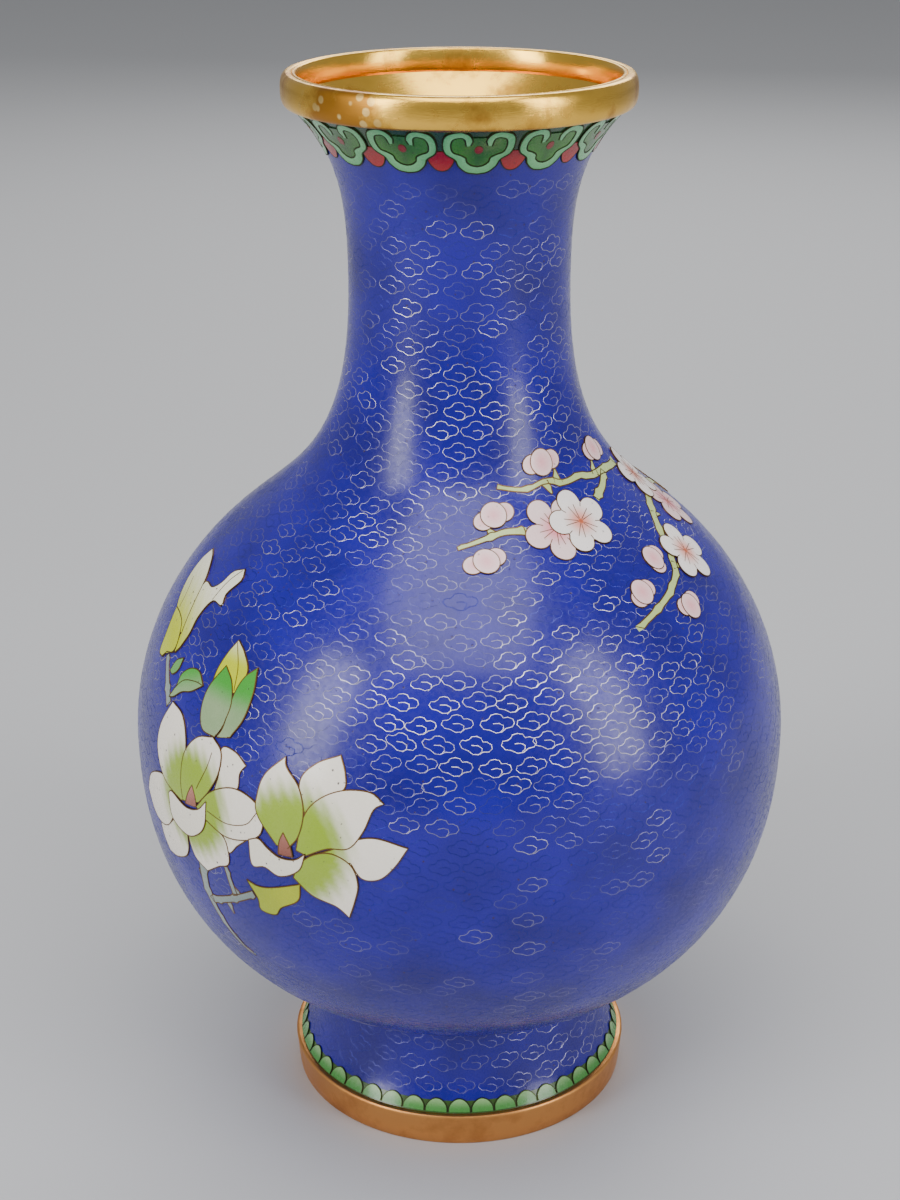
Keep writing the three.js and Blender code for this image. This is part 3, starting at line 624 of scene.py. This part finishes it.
# where each bloom is yellowest, how far that reaches, and where it is all white
HEARTS = {"left_bloom": (0, 3, 9.5, 15.5), "right_bloom": (31, 2, 10, 17), "upper_bloom": (-26, 27, 9, 27)}
PETALS = {
    "left_bloom": [
        ([(-9.8, 1), (-8, 2), (-2, .7), (3, 2), (6.2, 5.2)],
         [(6.2, 5.2), (5.6, -.5), (3, -4.2), (-2, -6.6), (-8.5, -4.8), (-9.8, 1)]),
        ([(-3, 2), (-4, 7), (-3.4, 13.5), (.5, 18.5), (5.8, 20.4)],
         [(5.8, 20.4), (9.3, 18), (9.5, 13), (7, 8), (3.6, 4)]),
        ([(2.5, 2.5), (7.5, 8), (14.5, 11.2), (21, 10), (24, 6)],
         [(24, 6), (22.8, 2.5), (18.8, 0), (12.5, -1.2), (6, .5)]),
        ([(-4, 1.6), (-12, 3.6), (-16.6, 9), (-16.5, 15), (-12.5, 22.2)],
         [(-12.5, 22.2), (-7, 21), (-3.6, 16), (-2.5, 8), (-2.5, 2)]),
        ([(-5.5, 1.2), (-11, 4), (-16, 3.5), (-21.5, .5), (-24.5, -4.5)],
         [(-24.5, -4.5), (-20.5, -9), (-15.5, -9.8), (-11.5, -8.2), (-8.5, -5)]),
        ([(-8, -5), (-12, -8.5), (-16.5, -10), (-16, -13.5), (-13.8, -16.5)],
         [(-13.8, -16.5), (-9.5, -16), (-4.5, -13.5), (-2.5, -10.5), (-2.2, -6.8)]),
        ([(-1.8, -6.5), (-1.2, -9), (.5, -11.8), (4.5, -13.5)],
         [(4.5, -13.5), (9.2, -10.3), (12.6, -8.5), (13, -5), (11.5, -1.5), (6, .5)]),
        ([(8.5, 8.5), (9.6, 13), (9.2, 19), (13.5, 19.3), (17.2, 17.3)],
         [(17.2, 17.3), (15.8, 15), (15.6, 11.3), (11, 9.5)]),
        ([(9, -.8), (13, -1.2), (19, 0)], [(19, 0), (16, -2.5), (13.2, -5.2), (11.5, -2)]),
    ],
    "right_bloom": [
        ([(19.8, .6), (22.5, 1.6), (25, 0), (28, -1.4), (32, -1), (34.8, 1.2)],
         [(34.8, 1.2), (33, -3.4), (28, -6.2), (24, -5), (20.4, -5.6), (19.8, .6)]),
        ([(27.5, 1.5), (22, 7.5), (21.6, 12), (22.8, 17), (27, 22)],
         [(27, 22), (27.8, 19.8), (31.8, 16), (33.8, 10.5), (33, 5), (30.5, 1.5)]),
        ([(31.5, -5.5), (33, -2), (36.5, 1.2), (41, 2.5), (45.5, .5), (47, -4), (46, -8.5), (44.3, -13)],
         [(44.3, -13), (41.5, -10.6), (36, -9), (31.5, -5.5)]),
        ([(32.5, 1.5), (34, 10), (37, 14.5), (42, 17.3), (48, 17.7), (51.5, 15.5)],
         [(51.5, 15.5), (49.5, 14), (48, 9), (45, 4.5), (40, 3.5), (35, .8)]),
        ([(36, 1), (42, 4), (46, 6.5), (51, 7.6), (58, 6)],
         [(58, 6), (55.4, 1.5), (52, -2), (48, -2.4), (45.5, 1)]),
        ([(33.8, 10.5), (31.7, 17.5), (34.5, 22), (39.5, 24.8)],
         [(39.5, 24.8), (41.6, 21), (42, 17.4), (37, 14.5)]),
    ],
    "upper_bloom": [
        ([(-25.6, 28), (-28.2, 28.3), (-28.6, 33), (-29.5, 38.8)],
         [(-29.5, 38.8), (-25.5, 38.8), (-21.7, 37.7), (-19.5, 34), (-20.1, 31.3), (-23.4, 30)]),
        ([(-22, 36), (-29.8, 38.9), (-33.2, 44.5), (-32.6, 50), (-30, 54)],
         [(-30, 54), (-26.7, 53.2), (-23.6, 51), (-21.7, 48.2), (-20.6, 43), (-19.5, 36)]),
        ([(-19.1, 31.5), (-20.5, 40), (-21.3, 48.4), (-16.6, 49), (-13.8, 51.3), (-12, 55), (-8.6, 57)],
         [(-8.6, 57), (-7.2, 54.5), (-9.4, 50), (-8.6, 47.2), (-13, 46.8), (-15.4, 42), (-15.7, 37.5),
          (-17.3, 33.5)]),
    ],
}
FOLDS = {
    "left_bloom": {1: [(6.5, 17), (5.5, 13), (2.5, 7)], 2: [(6.5, 3), (13, 2.2), (19, 4), (21.8, 7.5)]},
    "upper_bloom": {1: [(-29.8, 46.5), (-28, 43), (-27.6, 39.5)],
                    2: [(-8.9, 56.5), (-11.5, 52.5), (-13.3, 47)]},
    "right_bloom": {},
}
wires = []


def add_cell(parts, sheet, side, back, layer, blend_of):
    """One cell and its wire at a height given by its place in the order, front first."""
    high = TOP - LAYER * layer
    grid = between(side, back)
    parts.append(sheet.patch(grid, high, blend_of(grid)))
    wires.append(sheet.wire(around(side, back), SUNK, high))


def add_fold(points, layer, count=16):
    """A single wire that crosses a cell of the magnolia spray."""
    wires.append(magnolia.wire(flowing(points, count), GROUND, TOP - LAYER * layer, 0.3, False))


def heart_share(grid, x, y, near, far):
    """Distance from the heart, with its edge brushed into streaks, as 0 near it and 1 far from it."""
    streaks = 0.7 * np.sin(grid[..., 0] * 1.9 + grid[..., 1])
    return smooth_step(np.linalg.norm(grid - [x, y], axis=-1) + streaks, near, far)


# %% Magnolia blooms
for bloom, petals in PETALS.items():
    parts = []
    for layer, (side, back) in enumerate(petals):
        cup = 0.95 if layer == 0 and bloom != "upper_bloom" else 0
        add_cell(parts, magnolia, side, back, layer,
                 lambda grid: np.maximum(heart_share(grid, *HEARTS[bloom]), cup))
        if layer in FOLDS[bloom]:
            add_fold(FOLDS[bloom][layer], layer)
    glaze = bud_yellow if bloom == "upper_bloom" else petal_white
    make_piece("magnolia_" + bloom, parts, glaze, ["magnolia_" + bloom])

cones = [([(-2, 1.6), (-.6, 5), (.8, 7.2)], [(.8, 7.2), (2.2, 4.5), (2.6, 2.4)]),
         ([(27.9, -.6), (28.2, 2.5), (29.2, 5)], [(29.2, 5), (31, 2), (31.6, -.4)])]
parts = []
for side, back in cones:
    add_cell(parts, magnolia, side, back, 0.5, lambda grid: np.linspace(0, 1, grid.shape[0])[:, None])
make_piece("magnolia_cones", parts, cone_pink)

# %% Magnolia bud, leaves and twigs
down_leaf = lambda grid: smooth_step(grid[..., 1], 33, 27)
parts = []
for layer, (side, back) in enumerate([
        ([(6.3, 20.6), (1.8, 20.9), (-.3, 24.5), (-.2, 30), (2.9, 36.3)],
         [(2.9, 36.3), (6.5, 33.5), (8.6, 29), (8.2, 24)]),
        ([(7, 20.8), (8.3, 24), (8.4, 31), (9.5, 35.5), (12, 38.6)],
         [(12, 38.6), (13.6, 33), (13.4, 27), (11, 22)])]):
    add_cell(parts, magnolia, side, back, layer, down_leaf)
make_piece("magnolia_bud_leaves", parts, leaf_green, ["magnolia_bud"])
parts = []
add_cell(parts, magnolia, [(.4, 31.5), (.5, 35), (1.5, 39), (3, 42.6)],
         [(3, 42.6), (6.5, 40.5), (9.7, 36.8), (8.5, 31.5)], 3,
         lambda grid: smooth_step(grid[..., 1], 37, 45))
add_fold([(3, 42), (6.5, 37), (8, 32)], 3, 14)
make_piece("magnolia_bud_tip", parts, bud_yellow)
parts = []
add_cell(parts, magnolia, [(-15.2, 22.4), (-13, 26), (-12.2, 29), (-9.1, 31.5), (-5.5, 32), (-2.4, 29.7)],
         [(-2.4, 29.7), (-6.2, 27), (-9.9, 25.5), (-13, 23.2), (-15.2, 22.4)], 5,
         lambda grid: smooth_step(grid[..., 0] * 0.5 - grid[..., 1], -36, -30) * 0.8)
add_fold([(-14, 24.5), (-10.6, 28), (-5.9, 29.5), (-2.4, 29.7)], 5)
make_piece("magnolia_folded", parts, leaf_green, ["magnolia_folded_leaf"])
parts = []
add_cell(parts, magnolia, [(-18.4, 27.5), (-16.8, 30.5), (-13.8, 32.3)],
         [(-13.8, 32.3), (-14.4, 29.2), (-16.7, 27.2), (-18.4, 27.5)], 5, lambda grid: 0.3)
make_piece("magnolia_small", parts, leaf_green, ["magnolia_small_leaf"])
parts = []
add_cell(parts, magnolia, [(18, -10.4), (21, -11), (25, -10.2), (33, -7)],
         [(33, -7), (32, -11.5), (27, -15), (25, -17.6), (20.8, -17.6), (20.6, -14.6), (18, -10.4)], 7,
         lambda grid: smooth_step(grid[..., 0], 20, 32))
make_piece("magnolia_cup", parts, calyx_lime, ["magnolia_calyx"])


def branch_sides(middle, start_width, end_width):
    """Two edges to either side of a middle line, closing in towards its end, with knots here and there."""
    line = flowing(middle, 30)
    aim = np.gradient(line, axis=0)
    aim = aim / np.linalg.norm(aim, axis=1)[:, None]
    half = np.linspace(start_width, end_width, 30) / 2
    knots = np.cumsum(np.linalg.norm(np.gradient(line, axis=0), axis=1))
    above = half * (1 + 0.5 * np.maximum(np.sin(knots * 0.9), 0) ** 6)
    below = half * (1 + 0.5 * np.maximum(np.sin(knots * 0.7 + 2), 0) ** 6)
    across = np.stack([-aim[:, 1], aim[:, 0]], -1)
    return line + across * above[:, None], (line - across * below[:, None])[::-1]


def add_branch(parts, sheet, middle, start_width, end_width, layer):
    """A branch is a cell between its two edges."""
    side, back = branch_sides(middle, start_width, end_width)
    add_cell(parts, sheet, side, back, layer, lambda grid: np.linspace(0, 1, grid.shape[1])[None, :])


parts = []
for middle, start_width, end_width in [
        ([(-22.9, 29.6), (-18.5, 25), (-14.6, 20.6)], 1.6, 2.4),
        ([(2.6, -12.5), (2.4, -20), (5, -28), (8.5, -34), (12, -36)], 2.8, .8),
        ([(19.5, -13.8), (13, -17.6), (3, -22.4)], 1.6, 1.8), ([(11.5, -9.5), (13.2, -16.8)], 1.2, 1.5)]:
    add_branch(parts, magnolia, middle, start_width, end_width, 9.5)
for foot_of, tip in [((2.4, -17), (.6, -14.6)), ((7.4, -32), (5.2, -30.2)), ((9.6, -19.4), (10.8, -23)),
                     ((13, -15), (15, -15.8))]:
    add_branch(parts, magnolia, [foot_of, tip], 1.9, 0.4, 10.2)
make_piece("magnolia_twigs", parts, twig_gray,
           ["magnolia_upper_twig", "magnolia_main_branch", "magnolia_right_twig", "magnolia_short_twig"])
make_piece("magnolia_wires", wires, dark_wire)

# %% [markdown]
# The plum spray wraps the shoulder on the right. A blossom is five round petals, each with its own
# wire, about a bunch of stamens, which are single short wires with no cell of their own.

# %% Plum spray
plum = Sheet(BELT + 72, 45)
wires = []
petal_parts = {"blush": [], "pink": [], "hearts": []}


def blossom_edge(turn, count=80, reach=5.1, size=3.02):
    """Radius of five round petals at every angle: the farthest point of any of their circles."""
    angle = np.linspace(0, 2 * np.pi, count, endpoint=False)
    at = np.radians(turn + 72 * np.arange(5))[:, None]
    aside, ahead = reach * np.sin(angle - at), reach * np.cos(angle - at)
    far = ahead + np.sqrt(np.maximum(size ** 2 - aside ** 2, 0))
    return angle, np.where((np.abs(aside) < size) & (ahead > 0), far, 0).max(0)


def rays(x, y, angles, start, end):
    """Short straight lines outwards from a middle point, as three places each."""
    out = np.linspace(start, end, 3)
    return [np.stack([x + out * np.cos(a), y + out * np.sin(a)], -1) for a in angles]


def blossom(x, y, turn, color, layer):
    """One lobed cell, short wires where the petals part, and stamens in pairs."""
    angle, far = blossom_edge(turn)
    out = np.linspace(0, 1, 10)[:, None]
    ring = np.append(angle, 2 * np.pi)
    reach = np.append(far, far[0])
    grid = np.stack([x + out * reach * np.cos(ring), y + out * reach * np.sin(ring)], -1)
    high = TOP - LAYER * layer
    petal_parts[color].append(plum.patch(grid, high, smooth_step(out * reach, 0.6, 5.0), disc_faces))
    wires.append(plum.wire(grid[-1, :-1], SUNK, high, 0.28))
    partings = np.radians(turn + 36 + 72 * np.arange(5))
    stamens = np.radians(turn + np.ravel(72 * np.arange(5)[:, None] + [-10, 12]))
    for line in rays(x, y, partings, far.min() - 1.3, far.min() + 0.1):
        wires.append(plum.wire(line, GROUND, high, 0.26, False))
    for line in rays(x, y, stamens, 0.7, 4.3):
        wires.append(plum.wire(line, GROUND, high, 0.22, False))
    petal_parts["hearts"].append(disc(plum, x, y, 0.65, 0.65, high + 0.012, 0.0))


for x, y, turn in [(-3.5, 4.5, 20), (22.8, -10, 12), (29.5, 14.5, 40), (59, 20.5, 15)]:
    blossom(x, y, turn, "blush", 0)
for x, y, turn, layer in [(-10.4, 5.2, 36, 4), (35.8, 5.5, 10, 4), (80, 12, 50, 0)]:
    blossom(x, y, turn, "pink", layer)
BUDS = [(-5.9, 20.2, (-10.8, 21), (-.5, 20)), (12.9, 20.4, (8.6, 18.9), (17.9, 21)),
        (-21.8, 14.4, (-26.7, 14.2), (-17.2, 13.4)), (-29.4, 5.8, (-35, 7.3), (-24.9, 5.5)),
        (9.4, -9.6, (12.8, -7.8), (9.6, -13.4)), (-.4, -16.2, (-3.5, -18.4), (3.4, -15.4)),
        (11.9, -23.1, (7.8, -22.6), (15, -20.6)), (70, 17.5, (65.6, 17), (74.4, 16.4))]
bud_parts = []


def bud_lobe(x, y, wide, tall, layer, inner, count):
    """A round cell of a bud and the wire about it."""
    high = TOP - LAYER * layer
    bud_parts.append(disc(plum, x, y, wide, tall, high, inner))
    wires.append(plum.wire(oval(x, y, wide, tall, 2, count)[1, :-1], SUNK, high, 0.26))


for x, y, left, right in BUDS:
    middle = np.array([x, y])
    for lobe in (left, right):
        bud_lobe(*(middle + (np.array(lobe) - middle) * 0.52), 2.4, 2.2, 4, 0.4, 22)
    bud_lobe(x, y, 2.9, 3.1, 1, 0.35, 24)
make_piece("plum_white_petals", petal_parts["blush"], blush,
           ["plum_front_blossom", "plum_side_blossom", "plum_back_blossom", "plum_right_blossom"])
make_piece("plum_pink_petals", petal_parts["pink"], pink,
           ["plum_front_pink_blossom", "plum_side_pink_blossom", "plum_back_pink_blossom"])
make_piece("plum_hearts", petal_parts["hearts"], heart_brown)
make_piece("plum_buds", bud_parts, pink, ["plum_bud_%d" % (i + 1) for i in range(8)])
parts = []
for middle, start_width, end_width in [
        ([(-18, 19.7), (-14.4, 17.2), (-11.1, 16), (-6.6, 16), (-1.8, 14.2), (4.2, 14.6), (8.1, 13.9),
          (13.9, 15.2), (18.5, 16.1), (22.1, 17.5)], .9, 2),
        ([(13.3, 14.5), (9.7, 11), (5, 8.4)], 1.8, 1.8),
        ([(-32.8, 11.9), (-28.8, 11), (-24.1, 10.2), (-21.3, 9.6), (-17.2, 7.6)], .9, 1.8),
        ([(28.8, 8.7), (24.3, 4.2), (20.4, -1.1), (18, -6.6), (15.8, -11.2), (13.5, -14.8), (7.6, -18.6),
          (0, -21.5), (-7.1, -23.4)], 2.2, 1.3),
        ([(36, 13), (55.4, 14.8), (88.4, .8), (99, -18.6)], 1.8, 3)]:
    add_branch(parts, plum, middle, start_width, end_width, 9.5)
for foot_of, tip in [((-3.4, 14.6), (-3, 17.8)), ((9.4, 14), (10.4, 17.6)), ((-7, 15.8), (-6.4, 12.8)),
                     ((14.6, -12.5), (17.4, -13.6)), ((22, 1.5), (25, 1.2)), ((-24, 10), (-24.6, 12.6))]:
    add_branch(parts, plum, [foot_of, tip], 2.0, 0.5, 10.2)
make_piece("plum_branches", parts, pale_twig, ["plum_upper_branch", "plum_arm", "plum_left_branch",
                                               "plum_right_branch", "plum_back_branch"])
make_piece("plum_wires", wires, dark_wire)

# %% [markdown]
# Under the rim hang thirteen ruyi heads: a jade band that curls in on itself on both sides of a dark
# green field with a red dot, and red lappets that show in the gaps. The same half drawing is used on
# both sides, mirrored.

# %% Ruyi border
HEADS = 13
pitch = 2 * np.pi * body.radius(HEAD_LINE) / HEADS
scale = pitch / 14.9
OUTER = np.array([(1.7, 3.9), (1.4, 5.5), (2.6, 7.4), (4.6, 7.8), (6.9, 6.5), (7.4, 3.9), (6.7, 1.3),
                  (4.6, -.2), (3.9, -1.7), (2.2, -3.2), (0, -3.6)]) * scale
INNER = np.array([(2.4, 3.7), (2.7, 5.6), (3.7, 6.4), (5.2, 6), (6, 4.4), (5.7, 2.3), (4.4, 1.2),
                  (3, .3), (2.6, -.9), (1.4, -1.9), (0, -2.2)]) * scale
INNER = INNER + (INNER - OUTER) * 0.3
LAPPET = np.array([(-2.75, 2), (-2.6, -.6), (-1.4, -2.5), (0, -3), (1.4, -2.5), (2.6, -.6),
                   (2.75, 2)]) * scale
HALF = 36


def both_halves(half):
    """The half line from the hook to the lowest point, and its mirror image back up to the other hook."""
    line = flowing(half, HALF)
    return np.vstack([line, (line * [-1, 1])[-2::-1]])


outer, inner = both_halves(OUTER), both_halves(INNER)
share = np.linspace(0, 1, 6)[None, :, None]
band = outer[:, None] * (1 - share) + inner[:, None] * share
across = np.linspace(-1, 1, 11)[None, :]
field = np.stack([inner[:HALF, :1] * across, inner[:HALF, 1:] + 0 * across], -1)
tongue = between(LAPPET[:4], LAPPET[3:], 20, 10)
bands, fields, dots, lappets, wires = [], [], [], [], []
for i in range(HEADS):
    turn = (i + 0.25) * 360 / HEADS
    head = Sheet(HEAD_LINE, turn)
    bands.append(head.patch(band, TOP - 2 * LAYER, share[..., 0]))
    fields.append(head.patch(field, TOP - 4 * LAYER, 1 - np.abs(across)))
    for line in (outer, inner):
        wires.append(head.wire(line, SUNK, TOP - 2 * LAYER, 0.42, False))
    dots.append(disc(head, 0, 2.7 * scale, 0.9, 1.1, TOP - LAYER, 0.2))
    lappet = Sheet(HEAD_LINE, turn + 180 / HEADS)
    lappets.append(lappet.patch(tongue, TOP - 6 * LAYER, smooth_step(tongue[..., 1], -3, 2)))
    wires.append(lappet.wire(flowing(LAPPET, 26), SUNK, TOP - 6 * LAYER, 0.28, False))
make_piece("ruyi_bands", bands, jade, ["ruyi_head_%d" % (i + 1) for i in range(HEADS)])
make_piece("ruyi_fields", fields, field_green)
make_piece("ruyi_dots", dots, dot_red)
make_piece("ruyi_lappets", lappets, lappet_red)
make_piece("ruyi_wires", wires, border_wire)

# %% [markdown]
# Above the foot rim stands a row of green scallops, each a low dome of glass inside a wire.

# %% Scallops
SCALLOPS = 45
parts, wires = [], []
scallop_pitch = 2 * np.pi * foot.radius(1.6) / SCALLOPS
dome = np.array([(-.47, .5), (-.44, 1.9), (-.25, 3.2), (0, 3.7), (.25, 3.2), (.44, 1.9), (.47, .5)])
dome = dome * [scallop_pitch, 1]
grid = between(dome[:4], dome[3:], 12, 10)
for i in range(SCALLOPS):
    leaf = Sheet(0, i * 360 / SCALLOPS, foot)
    parts.append(leaf.patch(grid, TOP - 3 * LAYER, smooth_step(grid[..., 1], 3.6, 1.0)))
    wires.append(leaf.wire(flowing(dome, 18), SUNK, TOP - 3 * LAYER, 0.3, False))
make_piece("foot_scallops", parts, scallop_green)
make_piece("foot_scallop_wires", wires, border_wire)

# %% [markdown]
# The blue ground is filled with small clouds, each one bent from a single wire with a hook inside.
# They hold the large blue field while it melts. One small cloud is worked out once and placed at
# every spot of a staggered net, all at the same time as arrays.

# %% Clouds
CLOUD = [(-3.5, -.1), (-3.15, .7), (-2.2, .8), (-1.6, 1.2), (-1.2, 1.85), (-.2, 2.1), (.8, 1.9), (1.3, 1.2),
         (2.2, 1.3), (3.2, .9), (3.55, .1), (3.05, -.7), (1.8, -.95), (.9, -1.65), (-.3, -1.8), (-1.5, -1.2),
         (-2.8, -.95)]
HOOK = [(-.9, .1), (.4, .15), (1.35, -.3), (1.35, -1.05), (.7, -1.75)]
ROW = 4.25
random = np.random.default_rng(7)


def cloud_centres(wall, start, end, row=ROW, across=7.7):
    """Rows along the wall, each with as many places round it as fit, and every other row shifted by half."""
    rows = np.linspace(start, end, int((end - start) / row) + 1)
    centres = [np.stack([(np.arange(n) + 0.5 * (i % 2)) * 2 * np.pi / n, np.full(n, at)], -1)
               for i, at in enumerate(rows) for n in [max(int(2 * np.pi * wall.radius(at) / across), 6)]]
    centres = np.vstack(centres)
    return centres + random.normal(0, 0.26, centres.shape) * [1 / 50, 1]


def wear_and_painted_sheen(centres):
    """1 where the wires are blue like the ground, less on the shoulder and neck, where they are painted
    bright as a sheen of reflected light and partly rubbed bright.
    """
    turn, up = centres[:, 0], centres[:, 1] - BELT
    # painted sheen: the wires are painted brighter in a band round the shoulder and over the neck, where
    # light catches them; only partly rubbed bright
    shoulder_sheen_and_rub = np.exp(-((up - 33) / 15) ** 2) * (0.55 + 0.35 * np.cos(3 * (turn - 0.2)))
    neck_sheen_and_rub = 0.5 * np.exp(-((up - 98) / 44) ** 2)
    return np.clip(1.0 - shoulder_sheen_and_rub - neck_sheen_and_rub + random.normal(0, 0.2, len(centres)), 0.1, 1)


def clouds(wall, centres, wear_and_sheen):
    """Every cloud at once: the local drawing, leaned and sized, is turned by its own centre."""
    parts = []
    for line, closed in ((np.array(CLOUD), True), (np.array(HOOK), False)):
        flat_places, lifts = strand(line, 0.42, SUNK, GROUND + 0.025, closed, 3)
        lean = random.normal(0, 0.1, (len(centres), 1, 1))
        size = 1 + random.normal(0, 0.04, (len(centres), 1, 1))
        x, y = flat_places[None, ..., 0] * size, flat_places[None, ..., 1] * size
        x, y = x * np.cos(lean) - y * np.sin(lean), x * np.sin(lean) + y * np.cos(lean)
        along = centres[:, 1, None, None] + y
        turn = centres[:, 0, None, None] + x / wall.radius(along)
        points = wall.place(turn, along, lifts[None])
        net = strand_faces(len(line), 3, closed)
        steps = np.arange(len(centres))[:, None, None] * flat_places.shape[0] * 3
        parts.append((points.reshape(-1, 3), (net[None] + steps).reshape(-1, 4),
                      # each cloud's blend value carries its wear and its painted sheen
                      np.repeat(wear_and_sheen, flat_places.shape[0] * 3)))
    return parts


edges = [3, BELT - 30, BELT + 24, BELT + 78, BORDER - 4]
names = ["under_belly", "belly", "shoulder", "neck"]
for name, start, end in zip(names, edges[:-1], edges[1:]):
    centres = cloud_centres(body, start, end - ROW * (name != "neck"))
    make_piece("clouds_" + name, clouds(body, centres, wear_and_painted_sheen(centres)), cloud_wire)
centres = cloud_centres(foot, 6.5, foot.length - 3)
# painted sheen: the foot's cloud wires are painted brighter towards the right side and darker towards the
# left
make_piece("clouds_foot", clouds(foot, centres, 0.75 - 0.25 * np.sin(centres[:, 0])), cloud_wire)

# %% [markdown]
# The vase stands on a pale floor. Tall soft lamps at both sides give the upright bands of light that
# a polished neck shows, and a broad one overhead fills the shoulder.

# %% Floor and lights
floor_mesh = bpy.data.meshes.new("floor")
floor_mesh.from_pydata([(-4, -4, 0), (4, -4, 0), (4, 4, 0), (-4, 4, 0)], [], [(0, 1, 2, 3)])
floor = put_in("floor", floor_mesh)
floor_material = bpy.data.materials.new("floor")
floor_material.use_nodes = True
floor_shader = floor_material.node_tree.nodes["Principled BSDF"]
floor_shader.inputs["Base Color"].default_value = (0.5, 0.5, 0.51, 1)
floor_shader.inputs["Roughness"].default_value = 0.7
floor_mesh.materials.append(floor_material)
world = bpy.data.worlds.new("studio")
world.use_nodes = True
world.node_tree.nodes["Background"].inputs["Color"].default_value = (0.75, 0.77, 0.8, 1)
world.node_tree.nodes["Background"].inputs["Strength"].default_value = 0.42
bpy.context.scene.world = world


def lamp(name, place, aim, wide, tall, power):
    """A soft rectangular lamp that faces a point."""
    data = bpy.data.lights.new(name, "AREA")
    data.shape, data.size, data.size_y, data.energy = "RECTANGLE", wide, tall, power
    made = put_in(name, data)
    made.location = place
    made.rotation_euler = (Vector(aim) - Vector(place)).to_track_quat("-Z", "Y").to_euler()


lamp("overhead", (0, -0.5, 1.6), (0, 0, 0.15), 1.3, 1.3, 20)
lamp("left_soft", (-1.2, -0.9, 0.75), (0, 0, 0.14), 0.5, 1.3, 15)
lamp("right_soft", (1.2, -0.8, 0.75), (0, 0, 0.14), 0.5, 1.3, 12)
lamp("back_soft", (0.2, 1.3, 0.9), (0, 0, 0.14), 1.0, 0.6, 8)
